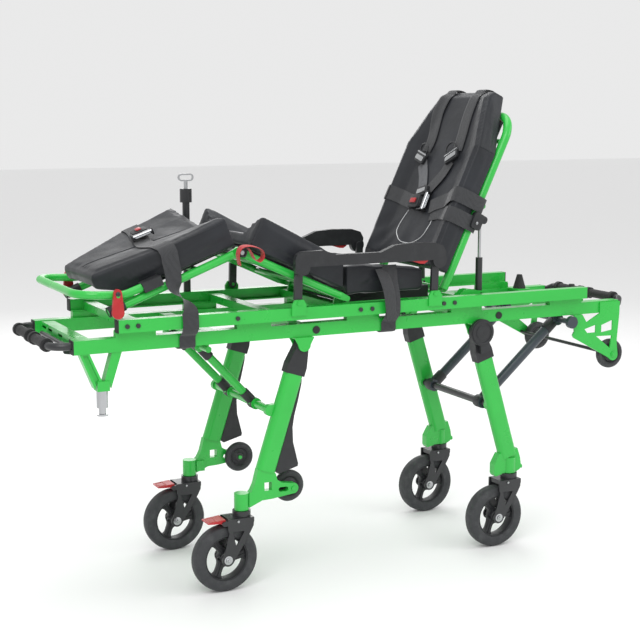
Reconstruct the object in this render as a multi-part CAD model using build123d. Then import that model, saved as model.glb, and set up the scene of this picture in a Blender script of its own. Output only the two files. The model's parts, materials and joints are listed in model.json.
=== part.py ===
"""Stretcher trolley: folding leg frame, slotted deck, three-section couch, casters and armrests.

Millimetres. X runs from the foot end to the head end, Y to the left, Z up, floor at Z = 0.
Every piece is written to parts/<name>.step. Side profiles are drawn in the XZ plane.
"""
import os
from math import atan2, cos, degrees, hypot, radians, sin

from build123d import *

# ---- deck rails ------------------------------------------------------------------------------
LOWER_X = (-917.0, 939.0)
LOWER_Y = (187.0, 223.0)
LOWER_Z = (740.0, 779.0)
RAIL_WALL = 3.0
UPPER_X = (-797.5, 788.5)
UPPER_Y = (220.8, 250.8)
UPPER_Z = (796.0, 832.0)
FLANGE_Y = 203.0
FLANGE_T = 4.0
SPACER_Y = (200.0, 223.0)
SPACER_SPANS = [(-797.5, -681.5), (-435.5, -328.5), (-79.5, 30.5), (286.5, 399.5), (660.5, 788.5)]
CAP_T = 3.0
PLUG_X = (-182.5, 463.5)
PLUG_R = 11.5
PLUG_T = 2.5
PLUG_Z = 758.5
RAIL_BOLT_X = (-773.5, -742.5, -445.5, -48.5, -9.5, 241.5, 280.5)
RAIL_BOLT_R = 6.5
RAIL_BOLT_T = 4.0
RAIL_BOLT_Z = 814.0
BASE_CROSS_X = (-880.0, -508.0, -226.5, 386.5, 801.5)
BASE_CROSS_W = 37.0
BASE_CROSS_Z = (745.0, 777.0)
UPPER_CROSS_X = (-740.0, -330.0, -78.5, 271.5, 348.0)
UPPER_CROSS_W = 36.0
UPPER_CROSS_Z = (800.0, 824.0)
CROSS_WALL = 2.5
CONE_X = 801.5
CONE_Y = 150.0
CONE_R = (22.5, 9.0)
CONE_H = 48.0
CONE_Z = 783.0

# ---- carrying handles ------------------------------------------------------------------------
HANDLE_Y = 205.0
HANDLE_R = 11.0
HANDLE_BEND = 42.0
HANDLE_INSET = 60.0
FOOT_BAR = (-973.5, 763.0)
HEAD_BAR = (973.5, 777.0)
FOOT_ROOT_Z = FOOT_BAR[1]
HEAD_ROOT_Z = 762.0
HEAD_KNEE_X = 951.0
HEAD_BAR_Y = 182.0
HEAD_BEND = 12.5
GRIP_R = 14.5
GRIP_SPAN = (24.0, 150.0)
GRIP_BALL_R = 19.0
GRIP_BALL_W = 14.0
GRIP_GAP = 0.05

# ---- leg pairs -------------------------------------------------------------------------------
LEG_Y = 213.0
LEG_SECTION = (60.0, 35.0, 15.0)
LEG_WALL = 3.0
FOOT_T = (-226.5, 718.0)
FOOT_END = (-346.5, 347.0)
FOOT_TUBE_START = 92.0
FOOT_M = (-328.5, 527.0)
FOOT_P = (-508.5, 718.0)
HEAD_T = (386.5, 712.0)
HEAD_END = (519.5, 277.0)
HEAD_TUBE_START = 96.0
HEAD_M = (449.5, 467.0)
HEAD_P = (737.5, 719.0)
PIN_R = 8.0
FIT = 0.1
SOCKET_R = 17.5
EAR_R = 20.0
EAR_T = 5.0
EAR_IN = (190.0, 195.0)
EAR_OUT = (231.0, 236.0)
EAR_TOP_Z = 737.0
EAR_HALF_X = 31.0
COVER_R = 42.0
COVER_Y = (236.6, 250.0)
CROSS_TUBE_R = 12.0
CROSS_TUBE_WALL = 2.0
FOOT_BRACE_Y = 95.0
FOOT_BRACE_R = 12.0
FOOT_SLEEVE_R = 17.0
HEAD_BRACE_Y = 150.0
HEAD_BRACE_R = 16.0
HEAD_SLEEVE_R = 20.0
SLEEVE_HALF_W = 18.0
SLEEVE_LEN = 52.0
SHAFT_R = 9.0
FOOT_SHAFT_Y = 183.0
HEAD_DISC_Y = (233.0, 247.0)
HEAD_DISC_R = 20.0

# ---- casters ---------------------------------------------------------------------------------
FOOT_CASTER_X = -423.5
HEAD_CASTER_X = 519.5
CASTER_Y = 213.0
HEAD_CASTER_Y = 216.0
CASTER_TRAIL = 56.0
WHEEL_R = 100.0
WHEEL_HALF_W = 22.0
RIM_R = 60.0
HUB_R = 18.0
HUB_HALF_W = 25.5
SPOKE_W = 13.0
AXLE_R = 6.0
FORK_IN = 26.5
FORK_OUT = 32.0
RING_R = 27.0
RING_Z = (221.0, 238.0)
SOCKET_Z = (239.0, 289.0)
CASTER_SOCKET_R = 21.5
STEM_R = 8.0
STEM_TOP = 284.0
PEDAL_PIVOT = (-66.0, 210.0)
PEDAL_PIN_R = 3.0

# ---- small wheels ----------------------------------------------------------------------------
TRANSIT_C = (-260.0, 285.5)
TRANSIT_R = 48.0
TRANSIT_Y = (180.0, 202.0)
LOADING_C = (922.0, 597.0)
LOADING_R = 49.0
LOADING_Y = (191.0, 219.0)
LOADING_PLATE_Y = (223.0, 228.0)
CROSS_ROD = (866.5, 612.0)
CROSS_ROD_R = 5.0

# ---- couch -----------------------------------------------------------------------------------
BACK_PIVOT = (271.5, 850.0)
BACK_ANGLE = 64.7
BACK_TUBE_V = 5.0
BACK_TUBE_Y = 205.0
BACK_TUBE_R = 14.0
BACK_TOP_U = 585.0
BACK_BEND = 75.0
BACK_BARS_U = (110.0, 400.0, 500.0)
STRUT_Y = 176.0
STRUT_FOOT = (416.5, 826.0)
STRUT_HEAD_Z = 1104.0
STRUT_R = 11.0
STRUT_ROD_R = 5.0
STRUT_TAIL = 45.0
STRUT_BARREL = 115.0
STRUT_ROD_IN = 95.0
THIGH_PIVOT = (-78.5, 845.0)
KNEE = (-425.5, 1000.0)
CALF_END = (-814.5, 851.0)
COUCH_TUBE_Y = 215.0
COUCH_TUBE_R = 12.0
COUCH_HALF_W = 222.0
HEAD_HALF_W = 138.0
CALF_END_HALF_W = 138.0
HOOP_Y = 225.0
HOOP_R = 11.5
HOOP_BEND = 65.0
HOOP_KNEE = (-772.5, 898.0)
HOOP_FRONT = (-902.0, 904.0)

# ---- armrests, pole, levers ------------------------------------------------------------------
ARM_LOWER = [(-253.5, 846.0), (208.5, 846.0)]
ARM_UPPER = [(-250.5, 952.0), (211.5, 952.0)]
ARM_BRACKET_Y = (250.8, 256.5)
ARM_POST_Y = (240.0, 250.4)
ARM_BEAM_Y = (257.0, 275.0)
ARM_POST_R = 12.0
ARM_BOSS_R = 24.0
ARM_PIN_R = 5.0
TRIGGER_PIVOT = (74.0, 962.0)
TRIGGER_Y = (260.0, 272.0)
POLE_X = -411.5
POLE_Y = 240.0
POLE_R = 11.5
POLE_ROD_R = 6.0
POLE_Z = (832.0, 1115.0)
COLLAR_Z = (1115.0, 1158.0)
COLLAR_R = 19.0
HOOK_TOP = 1206.0
LEVER_PIVOT = (-796.5, 898.5)
LEVER_Y = (238.0, 248.0)
RELEASE_PIVOT = (-874.0, 729.0)
RELEASE_BAR = (-911.0, 750.0)
PEG_X = -835.5
PEG_Y = -205.0


# ---- drawing helpers -------------------------------------------------------------------------
def block(x, y, z):
    """Box between the given (low, high) pairs."""
    size = (x[1] - x[0], y[1] - y[0], z[1] - z[0])
    middle = ((x[0] + x[1]) / 2, (y[0] + y[1]) / 2, (z[0] + z[1]) / 2)
    return Pos(*middle) * Box(*size)


def rod(start, end, radius):
    """Solid round bar between two points."""
    a = Vector(*start)
    b = Vector(*end)
    return extrude(Plane(origin=a, z_dir=(b - a).normalized()) * Circle(radius), amount=(b - a).length)


def pipe(start, end, radius, bore):
    """Round tube between two points."""
    a = Vector(*start)
    b = Vector(*end)
    ring = Circle(radius) - Circle(bore)
    return extrude(Plane(origin=a, z_dir=(b - a).normalized()) * ring, amount=(b - a).length)


def side_plane(y):
    """XZ drawing plane at the given Y."""
    return Plane(origin=(0, y, 0), x_dir=(1, 0, 0), z_dir=(0, -1, 0))


def thick(sketch, y):
    """Extrude an XZ sketch from y[0] to y[1]."""
    return extrude(side_plane(y[0]) * sketch, amount=y[1] - y[0], dir=(0, 1, 0))


def outline(points):
    """Closed polygon, always drawn anticlockwise."""
    turns = sum(a[0] * b[1] - b[0] * a[1] for a, b in zip(points, points[1:] + points[:1]))
    return Polygon(*(points if turns > 0 else reversed(points)), align=None)


def disc(centre, radius):
    return Pos(*centre) * Circle(radius)


def taper(a, ra, b, rb):
    """Flat link outline: two discs joined by their outer tangents."""
    length = hypot(b[0] - a[0], b[1] - a[1])
    along = atan2(b[1] - a[1], b[0] - a[0])
    lean = atan2((length**2 - (ra - rb) ** 2) ** 0.5, ra - rb)
    corners = []
    for centre, radius, sides in ((a, ra, (1, -1)), (b, rb, (-1, 1))):
        for side in sides:
            angle = along + side * lean
            corners.append((centre[0] + radius * cos(angle), centre[1] + radius * sin(angle)))
    return outline(corners) + disc(a, ra) + disc(b, rb)


def pin(centre, y, radius):
    """Round bar along Y."""
    return rod((centre[0], y[0], centre[1]), (centre[0], y[1], centre[1]), radius)


def mirrored(solids):
    """The given solids and their mirror images on the other side."""
    return list(solids) + [mirror(s, Plane.XZ) for s in solids]


def bent_tube(points, radius, bend, bore=0.0):
    """Round tube swept along a path with filleted corners."""
    path = FilletPolyline(*points, radius=bend)
    section = Circle(radius)
    if bore:
        section = section - Circle(bore)
    return sweep(Plane(origin=path @ 0, z_dir=path % 0) * section, path=path)


def along(origin, target):
    """Unit direction and length between two XZ points."""
    length = hypot(target[0] - origin[0], target[1] - origin[1])
    return ((target[0] - origin[0]) / length, (target[1] - origin[1]) / length), length


def local(origin, direction, normal):
    """Maps (distance along, height above) to XZ."""
    def place(s, n):
        return (origin[0] + s * direction[0] + n * normal[0], origin[1] + s * direction[1] + n * normal[1])
    return place


BACK_DIR = (cos(radians(BACK_ANGLE)), sin(radians(BACK_ANGLE)))
back = local(BACK_PIVOT, BACK_DIR, (-BACK_DIR[1], BACK_DIR[0]))
THIGH_DIR, THIGH_LEN = along(THIGH_PIVOT, KNEE)
thigh = local(THIGH_PIVOT, THIGH_DIR, (THIGH_DIR[1], -THIGH_DIR[0]))
CALF_DIR, CALF_LEN = along(KNEE, CALF_END)
calf = local(KNEE, CALF_DIR, (CALF_DIR[1], -CALF_DIR[0]))
FOOT_DIR, FOOT_LEN = along(FOOT_T, FOOT_END)
HEAD_DIR, HEAD_LEN = along(HEAD_T, HEAD_END)


# ---- deck frame ------------------------------------------------------------------------------
def lower_rails():
    height = LOWER_Z[1] - LOWER_Z[0]
    width = LOWER_Y[1] - LOWER_Y[0]
    section = Rectangle(width, height) - Rectangle(width - 2 * RAIL_WALL, height - 2 * RAIL_WALL)
    centre = (LOWER_X[0], sum(LOWER_Y) / 2, sum(LOWER_Z) / 2)
    plane = Plane(origin=centre, x_dir=(0, 1, 0), z_dir=(1, 0, 0))
    rail = extrude(plane * section, amount=LOWER_X[1] - LOWER_X[0])
    spacers = [block(span, SPACER_Y, (LOWER_Z[1], UPPER_Z[0])) for span in SPACER_SPANS]
    return mirrored([rail] + spacers)


def upper_rails():
    tube = block(UPPER_X, UPPER_Y, UPPER_Z)
    bore = block(
        (UPPER_X[0] - 1, UPPER_X[1] + 1),
        (UPPER_Y[0] + RAIL_WALL, UPPER_Y[1] - RAIL_WALL),
        (UPPER_Z[0] + RAIL_WALL, UPPER_Z[1] - RAIL_WALL),
    )
    flange = block(UPPER_X, (FLANGE_Y, UPPER_Y[0]), (UPPER_Z[0], UPPER_Z[0] + FLANGE_T))
    return mirrored([tube - bore + flange])


def cross_box(x, width, y, z):
    """Hollow flat cross-member."""
    outer = block((x - width / 2, x + width / 2), (-y, y), z)
    inner = block(
        (x - width / 2 + CROSS_WALL, x + width / 2 - CROSS_WALL),
        (-y - 1, y + 1),
        (z[0] + CROSS_WALL, z[1] - CROSS_WALL),
    )
    return outer - inner


def base_crossmembers():
    members = [cross_box(x, BASE_CROSS_W, LOWER_Y[0], BASE_CROSS_Z) for x in BASE_CROSS_X]
    foot_face = BASE_CROSS_X[0] - BASE_CROSS_W / 2
    slots = [block((foot_face - 1, foot_face + 6), (y - 22, y + 22), (760, 768)) for y in (-130, -20, 90, 155)]
    for slot in slots:
        members[0] = members[0] - slot
    stop = block((FOOT_P[0] + 12, FOOT_P[0] + 24), (FOOT_BRACE_Y + 24, FOOT_BRACE_Y + 30), (712, BASE_CROSS_Z[0]))
    pedestal = block((CONE_X - 26, CONE_X + 26), (CONE_Y - 30, CONE_Y + 30), (BASE_CROSS_Z[1], CONE_Z))
    lug = thick(taper(RELEASE_PIVOT, 9, (RELEASE_PIVOT[0], 748), 9), (106, 111))
    lug = lug - pin(RELEASE_PIVOT, (100, 120), 4 + FIT)
    lug = lug - block((-900, -850), (100, 120), (BASE_CROSS_Z[0], 800))
    return members + mirrored([stop, pedestal, lug])


def pivot_lug(pivot, radius, y, bore, base_z, half):
    """Plate standing on a cross-member, with a bore for a hinge tube."""
    shape = disc(pivot, radius) + outline(
        [(pivot[0] - half, base_z), (pivot[0] + half, base_z), (pivot[0] + radius, pivot[1]), (pivot[0] - radius, pivot[1])]
    )
    return thick(shape - disc(pivot, bore), y) & block((-2000, 2000), (y[0] - 1, y[1] + 1), (base_z, 2000))


def upper_crossmembers():
    members = [cross_box(x, UPPER_CROSS_W, UPPER_Y[0], UPPER_CROSS_Z) for x in UPPER_CROSS_X]
    top = UPPER_CROSS_Z[1]
    half = UPPER_CROSS_W / 2
    lugs = [
        pivot_lug(THIGH_PIVOT, 13, (160, 167), 8 + FIT, top, half),
        pivot_lug(BACK_PIVOT, 15, (156, 162), 9 + FIT, top, half),
    ]
    for y in ((160, 164), (188, 192)):
        arm = taper(STRUT_FOOT, 10, (STRUT_FOOT[0] - 50, STRUT_FOOT[1] + 8), 10)
        foot = outline([(332, top), (364, top), (374, STRUT_FOOT[1] + 12), (356, STRUT_FOOT[1] + 17)])
        lugs.append(
            thick(arm + foot - disc(STRUT_FOOT, 5 + FIT), y)
            - block((300, UPPER_CROSS_X[4] + half), (y[0] - 1, y[1] + 1), (700, top))
        )
    return members + mirrored(lugs)


def leg_hinge_brackets():
    solids = []
    for pivot in (FOOT_T, HEAD_T):
        top = block(
            (pivot[0] - EAR_HALF_X, pivot[0] + EAR_HALF_X), (EAR_IN[0], EAR_OUT[1]), (EAR_TOP_Z, LOWER_Z[0])
        )
        bracket = top
        for y in (EAR_IN, EAR_OUT):
            ear = disc(pivot, EAR_R) + outline(
                [
                    (pivot[0] - EAR_HALF_X, EAR_TOP_Z + 1),
                    (pivot[0] + EAR_HALF_X, EAR_TOP_Z + 1),
                    (pivot[0] + EAR_R, pivot[1]),
                    (pivot[0] - EAR_R, pivot[1]),
                ]
            )
            plate = thick(ear, y) & block((-2000, 2000), (0, 300), (0, LOWER_Z[0]))
            bracket = bracket + plate
        bracket = bracket + pin(pivot, (EAR_IN[0] - 4, EAR_OUT[1]), PIN_R)
        solids.append(bracket)
    return mirrored(solids)


def lock_peg_bracket():
    y = (-220.0, -190.0)
    left = outline([(-900.5, 740), (-872.5, 740), (-838.5, 661), (-852, 661), (-860, 640)])
    right = outline([(-808.5, 740), (-780.5, 740), (-813, 640), (-819, 661), (-832, 661)])
    recess = outline([(-892, 736), (-878, 736), (-848, 666), (-856, 652)])
    arm = thick(left, y) - thick(recess, (y[0] - 1, y[0] + 6))
    box = block((-853, -818), (PEG_Y - 18, PEG_Y + 18), (633, 661))
    return [arm + thick(right, y) + box]


def lock_peg():
    def stage(z, radius):
        return rod((PEG_X, PEG_Y, z[0]), (PEG_X, PEG_Y, z[1]), radius)
    return [stage((585, 633), 16) + stage((567, 585), 10) + stage((562, 567), 16)]


def loading_brackets():
    plate = outline(
        [
            (860.5, 775), (942, 775), (942, 735), (934, 640), (940, 597), (930, 578), (912, 578),
            (900, 588), (757, 664), (751.5, 673), (759, 685), (757, 701), (757, 739), (790, 739),
            (808, 712), (860.5, 739),
        ]
    )
    upper_window = outline([(868.5, 699), (914.5, 714), (914.5, 680), (868.5, 674)])
    lower_window = outline([(848.5, 663), (913.5, 661), (906.5, 619)])
    small_window = outline([(800, 690), (846, 702), (846, 676), (812, 676)])
    shape = plate + disc((922, 594), 18) - upper_window - lower_window - small_window
    plates = thick(shape, LOADING_PLATE_Y)
    shelf = block((757, 790), (LOWER_Y[0], LOADING_PLATE_Y[0]), (736, LOWER_Z[0]))
    axle = pin(LOADING_C, (LOADING_Y[0] - 3, LOADING_PLATE_Y[1] + 4), AXLE_R)
    washer = pin(LOADING_C, (LOADING_PLATE_Y[1], LOADING_PLATE_Y[1] + 3), 10)
    cross_rod = pin(CROSS_ROD, (-LOADING_PLATE_Y[0], LOADING_PLATE_Y[0]), CROSS_ROD_R)
    return mirrored([plates + shelf + axle + washer]) + [cross_rod]


def rubber_caps():
    caps = []
    lower = (LOWER_Y, LOWER_Z)
    upper = (UPPER_Y, UPPER_Z)
    for x, (y, z), hole in (
        ((LOWER_X[0] - CAP_T, LOWER_X[0]), lower, FOOT_ROOT_Z),
        ((LOWER_X[1], LOWER_X[1] + CAP_T), lower, HEAD_ROOT_Z),
        ((UPPER_X[0] - CAP_T, UPPER_X[0]), upper, 0),
        ((UPPER_X[1], UPPER_X[1] + CAP_T), upper, 0),
    ):
        cap = block(x, y, z)
        if hole:
            cap = cap - rod((x[0] - 1, HANDLE_Y, hole), (x[1] + 1, HANDLE_Y, hole), HANDLE_R + GRIP_GAP)
        caps.append(cap)
    for x in PLUG_X:
        caps.append(pin((x, PLUG_Z), (LOWER_Y[1], LOWER_Y[1] + PLUG_T), PLUG_R))
    caps.append(Pos(CONE_X, CONE_Y, CONE_Z + CONE_H / 2) * Cone(CONE_R[0], CONE_R[1], CONE_H))
    return mirrored(caps)


def rail_bolts():
    y = (UPPER_Y[1], UPPER_Y[1] + RAIL_BOLT_T)
    return mirrored([pin((x, RAIL_BOLT_Z), y, RAIL_BOLT_R) for x in RAIL_BOLT_X])


def handle_bars():
    root_x = LOWER_X[0] + HANDLE_INSET
    x, z = FOOT_BAR
    foot = [(root_x, -HANDLE_Y, z), (x, -HANDLE_Y, z), (x, HANDLE_Y, z), (root_x, HANDLE_Y, z)]
    root_x = LOWER_X[1] - HANDLE_INSET
    x, z = HEAD_BAR
    half = [(root_x, -HANDLE_Y, HEAD_ROOT_Z), (HEAD_KNEE_X, -HANDLE_Y, HEAD_ROOT_Z), (x, -HEAD_BAR_Y, z)]
    head = half + [(a, -b, c) for a, b, c in reversed(half)]
    return [bent_tube(foot, HANDLE_R, HANDLE_BEND), bent_tube(head, HANDLE_R, HEAD_BEND)]


def handle_grips():
    solids = []
    bore = HANDLE_R + GRIP_GAP
    for x, z in (FOOT_BAR, HEAD_BAR):
        grip = pin((x, z), GRIP_SPAN, GRIP_R)
        for y in GRIP_SPAN:
            grip = grip + pin((x, z), (y - GRIP_BALL_W / 2, y + GRIP_BALL_W / 2), GRIP_BALL_R)
        solids.append(grip - pin((x, z), (0, GRIP_SPAN[1] + 40), bore))
    return mirrored(solids)


def release_handle():
    heel = (RELEASE_BAR[0], RELEASE_PIVOT[1] + 4)
    whole = pin(RELEASE_BAR, (-134, 134), 7)
    arm = thick(taper(RELEASE_BAR, 6, heel, 6) + taper(heel, 6, RELEASE_PIVOT, 7.5), (112, 118))
    axle = pin(RELEASE_PIVOT, (105, 118), 4)
    for solid in mirrored([arm, axle]):
        whole = whole + solid
    return [whole]


# ---- legs ------------------------------------------------------------------------------------
def leg_tube(pivot, direction, start, end):
    """Rounded hollow section from start to end along the leg."""
    wide, thin, corner = LEG_SECTION
    origin = (pivot[0] + start * direction[0], LEG_Y, pivot[1] + start * direction[1])
    plane = Plane(origin=origin, x_dir=(0, 1, 0), z_dir=(direction[0], 0, direction[1]))
    outer = RectangleRounded(thin, wide, corner)
    inner = RectangleRounded(thin - 2 * LEG_WALL, wide - 2 * LEG_WALL, corner - LEG_WALL)
    return extrude(plane * (outer - inner), amount=end - start)


def leg_socket(pivot, direction, end):
    """Moulded leg top that narrows to the hinge pin."""
    place = local(pivot, direction, (-direction[1], direction[0]))
    half = LEG_SECTION[0] / 2
    y = (LEG_Y - LEG_SECTION[1] / 2 + 0.3, LEG_Y + LEG_SECTION[1] / 2 - 0.3)
    body = outline(
        [
            place(0, SOCKET_R), place(end * 0.7, half + 1), place(end, half + 1),
            place(end, -half - 1), place(end * 0.7, -half - 1), place(0, -SOCKET_R),
        ]
    )
    return thick(body + disc(pivot, SOCKET_R) - disc(pivot, PIN_R + FIT), y)


def caster_socket(x, y):
    socket = rod((x, y, SOCKET_Z[0]), (x, y, SOCKET_Z[1]), CASTER_SOCKET_R)
    return socket - rod((x, y, SOCKET_Z[0] - 1), (x, y, STEM_TOP + 1), STEM_R + FIT)


def foot_legs():
    tube = leg_tube(FOOT_T, FOOT_DIR, FOOT_TUBE_START, FOOT_LEN)
    casting = outline(
        [
            (-375.0, 356.2), (-318.0, 337.8), (-313, 318), (-298, 307), (-262, 301.5), (-262, 269.5),
            (-330, 262), (-362, 261), (-404, 244), (-404, 286), (-396, 294), (-386, 314),
        ]
    )
    casting = casting + disc(TRANSIT_C, 16)
    window = outline([(-355, 289), (-331, 289), (-331, 314), (-355, 314)])
    slot = taper((-302, 287), 7, (-284, 286.5), 7)
    lower = thick(casting - window - slot, (205.0, 227.0))
    lower = lower + rod(
        (FOOT_CASTER_X, LEG_Y, SOCKET_Z[0]), (FOOT_CASTER_X, LEG_Y, SOCKET_Z[1]), CASTER_SOCKET_R
    )
    lower = lower + block((-404, -376), (199, 205), (250, 284))
    stem_bore = rod((FOOT_CASTER_X, LEG_Y, SOCKET_Z[0] - 1), (FOOT_CASTER_X, LEG_Y, STEM_TOP + 1), STEM_R + FIT)
    lower = lower - stem_bore
    lower = lower + pin(TRANSIT_C, (TRANSIT_Y[0] - 2, 206), AXLE_R) + pin(TRANSIT_C, (226, 230.5), 7)
    ear = thick(taper(FOOT_M, 17, (-296, 530), 17), (199, 216)) & block((-400, -299), (150, 300), (400, 600))
    legs = mirrored([tube, lower, ear])
    bar = pipe((FOOT_M[0], -216, FOOT_M[1]), (FOOT_M[0], 216, FOOT_M[1]), CROSS_TUBE_R, CROSS_TUBE_R - CROSS_TUBE_WALL)
    whole = bar
    for solid in legs:
        whole = whole + solid
    return [whole]


def foot_leg_plastics():
    socket = leg_socket(FOOT_T, FOOT_DIR, FOOT_TUBE_START)
    place = local(FOOT_T, FOOT_DIR, (-FOOT_DIR[1], FOOT_DIR[0]))
    rear = LEG_SECTION[0] / 2 + 0.2
    fin = outline(
        [
            place(100, rear), (-230.5, 598), (-241, 552), (-254, 505), (-259.5, 470), (-258, 425),
            (-241.5, 358), (-243.5, 350), (-306, 333.5), place(386, rear),
        ]
    )
    return mirrored([socket, thick(fin, (205.5, 220.5))])


def head_legs():
    tube = leg_tube(HEAD_T, HEAD_DIR, HEAD_TUBE_START, HEAD_LEN - 16)
    foot = outline(
        [
            (476, 305), (545, 318), (556, 286), (560, 262), (556, 246), (541, 239), (498, 239),
            (462, 232), (457, 240), (457, 272), (463, 283),
        ]
    )
    lower = thick(foot, (199.5, 226.5))
    lower = lower + rod(
        (HEAD_CASTER_X, HEAD_CASTER_Y, SOCKET_Z[0]), (HEAD_CASTER_X, HEAD_CASTER_Y, SOCKET_Z[1]), CASTER_SOCKET_R
    )
    lower = lower - rod(
        (HEAD_CASTER_X, HEAD_CASTER_Y, 200), (HEAD_CASTER_X, HEAD_CASTER_Y, STEM_TOP + 1), STEM_R + FIT
    )
    clear_ring = rod((HEAD_CASTER_X, HEAD_CASTER_Y, 200), (HEAD_CASTER_X, HEAD_CASTER_Y, SOCKET_Z[0]), RING_R + 8)
    knob = rod((558, LEG_Y, 252), (570, LEG_Y, 252), 7)
    ear = thick(taper(HEAD_M, 19, (470, 470), 19), (196, 212)) & block((400, 476), (150, 300), (400, 600))
    return mirrored([tube + (lower - clear_ring) + knob + ear])


def head_leg_covers():
    socket = leg_socket(HEAD_T, HEAD_DIR, HEAD_TUBE_START)
    cover = thick(disc(HEAD_T, COVER_R), COVER_Y)
    place = local(HEAD_T, HEAD_DIR, (-HEAD_DIR[1], HEAD_DIR[0]))
    neck = outline([place(38, 16), place(38, -16), place(66, -20), place(66, 20)])
    neck = thick(neck, (LEG_Y + LEG_SECTION[1] / 2 - 0.5, COVER_Y[1] - 3))
    return mirrored([socket + neck + cover])


def head_cross_tube():
    y = 195.5
    return [
        pipe((HEAD_M[0], -y, HEAD_M[1]), (HEAD_M[0], y, HEAD_M[1]), CROSS_TUBE_R, CROSS_TUBE_R - CROSS_TUBE_WALL)
    ]


def brace(low, high, y, radius, sleeve_r):
    """One stay: tube, a ring round the cross tube, and the sleeve at its upper end."""
    direction, length = along(low, high)
    place = local(low, direction, (-direction[1], direction[0]))
    ring = pin(low, (y - SLEEVE_HALF_W, y + SLEEVE_HALF_W), sleeve_r)
    stay = rod(at_side(place(0, 0), y), at_side(place(length, 0), y), radius)
    lower = rod(at_side(place(4, 0), y), at_side(place(SLEEVE_LEN, 0), y), radius + 2.5)
    upper = rod(at_side(place(length - SLEEVE_LEN, 0), y), at_side(place(length, 0), y), radius + 2.5)
    eye = pin(high, (y - SLEEVE_HALF_W, y + SLEEVE_HALF_W), sleeve_r)
    bore = pin(low, (y - SLEEVE_HALF_W - 30, y + SLEEVE_HALF_W + 30), CROSS_TUBE_R + FIT)
    return ring + stay + lower + upper + eye - bore


def at_side(point, y):
    return (point[0], y, point[1])


def foot_braces():
    whole = pin(FOOT_P, (-FOOT_SHAFT_Y, FOOT_SHAFT_Y), SHAFT_R)
    for y in (-FOOT_BRACE_Y, FOOT_BRACE_Y):
        whole = whole + brace(FOOT_M, FOOT_P, y, FOOT_BRACE_R, FOOT_SLEEVE_R)
    return [whole]


def head_braces():
    whole = pin(HEAD_P, (-HEAD_DISC_Y[1], HEAD_DISC_Y[1]), SHAFT_R)
    for y in (-HEAD_BRACE_Y, HEAD_BRACE_Y):
        whole = whole + brace(HEAD_M, HEAD_P, y, HEAD_BRACE_R, HEAD_SLEEVE_R)
    for side in (-1, 1):
        y = HEAD_DISC_Y if side > 0 else (-HEAD_DISC_Y[1], -HEAD_DISC_Y[0])
        whole = whole + pin(HEAD_P, y, HEAD_DISC_R)
    return [whole]


# ---- casters and wheels ----------------------------------------------------------------------
def caster_fork(x, y, braked):
    def shift(points):
        return [(x + px, pz) for px, pz in points]
    axle = (x - CASTER_TRAIL, WHEEL_R)
    side = outline(
        shift([(-56, 221), (27, 221), (25, 196), (15, 177), (-41, 88), (-74, 95), (-52, 180), (-56, 190)])
    )
    side = side + disc(axle, 19) - outline(shift([(-42, 184), (-4, 182), (-30, 138)]))
    if braked:
        side = side + taper((x + PEDAL_PIVOT[0], PEDAL_PIVOT[1]), 7, (x - 50, PEDAL_PIVOT[1]), 7)
    cheeks = [thick(side, (y + FORK_IN, y + FORK_OUT)), thick(side, (y - FORK_OUT, y - FORK_IN))]
    crown = block((x - 52, x + 27), (y - FORK_OUT, y + FORK_OUT), (207, 221))
    ring = rod((x, y, RING_Z[0]), (x, y, RING_Z[1]), RING_R)
    stem = rod((x, y, RING_Z[0]), (x, y, STEM_TOP), STEM_R)
    fork = crown + ring + stem + pin(axle, (y - FORK_OUT - 5, y + FORK_OUT + 5), AXLE_R)
    for cheek in cheeks:
        fork = fork + cheek
    if braked:
        fork = fork + pin((x + PEDAL_PIVOT[0], PEDAL_PIVOT[1]), (y - FORK_OUT, y + FORK_OUT), PEDAL_PIN_R)
    return [fork]


def brake_pedal(x, y):
    pivot = (x + PEDAL_PIVOT[0], PEDAL_PIVOT[1])
    half = FORK_IN - 1.0
    plate = outline(
        [(x - 116, 214), (x - 116, 217.5), (x - 62, 222.5), (x - 60, 217), (x - 70, 211), (x - 96, 212)]
    )
    shape = plate + disc(pivot, 6.5) - disc(pivot, PEDAL_PIN_R + FIT)
    return [thick(shape, (y - half, y + half))]


def spun(points):
    """Solid of revolution about local Z from a half section drawn as (radius, height) points."""
    profile = Plane.XZ * Polygon(*points, align=None)
    return revolve(profile, axis=Axis.Z)


def caster_wheel(x, y):
    w = WHEEL_HALF_W
    ring = spun(
        [
            (RIM_R, -w + 5), (RIM_R + 6, -w + 2), (WHEEL_R - 12, -w), (WHEEL_R - 4, -w + 5), (WHEEL_R, -8),
            (WHEEL_R, 8), (WHEEL_R - 4, w - 5), (WHEEL_R - 12, w), (RIM_R + 6, w - 2), (RIM_R, w - 5),
        ]
    )
    wheel = ring + Cylinder(HUB_R, 2 * HUB_HALF_W)
    for k in range(3):
        spoke = Pos((HUB_R + RIM_R) / 2, 0, 0) * Box(RIM_R - HUB_R + 8, SPOKE_W, 2 * w - 16)
        wheel = wheel + Rot(0, 0, 90 + 120 * k) * spoke
    wheel = wheel - Cylinder(AXLE_R + FIT, 4 * HUB_HALF_W)
    return [Pos(x - CASTER_TRAIL, y, WHEEL_R) * Rot(90, 0, 0) * wheel]


def plain_wheel(centre, radius, y):
    half = (y[1] - y[0]) / 2
    wheel = spun(
        [
            (AXLE_R + FIT, -half), (radius * 0.3, -half), (radius * 0.36, -half + 5), (radius * 0.72, -half + 5),
            (radius * 0.78, -half + 0.5), (radius - 3, -half + 0.5), (radius, -half + 5), (radius, half - 5),
            (radius - 3, half - 0.5), (radius * 0.78, half - 0.5), (radius * 0.72, half - 5),
            (radius * 0.36, half - 5), (radius * 0.3, half), (AXLE_R + FIT, half),
        ]
    )
    return [Pos(centre[0], (y[0] + y[1]) / 2, centre[1]) * Rot(90, 0, 0) * wheel]


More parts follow.
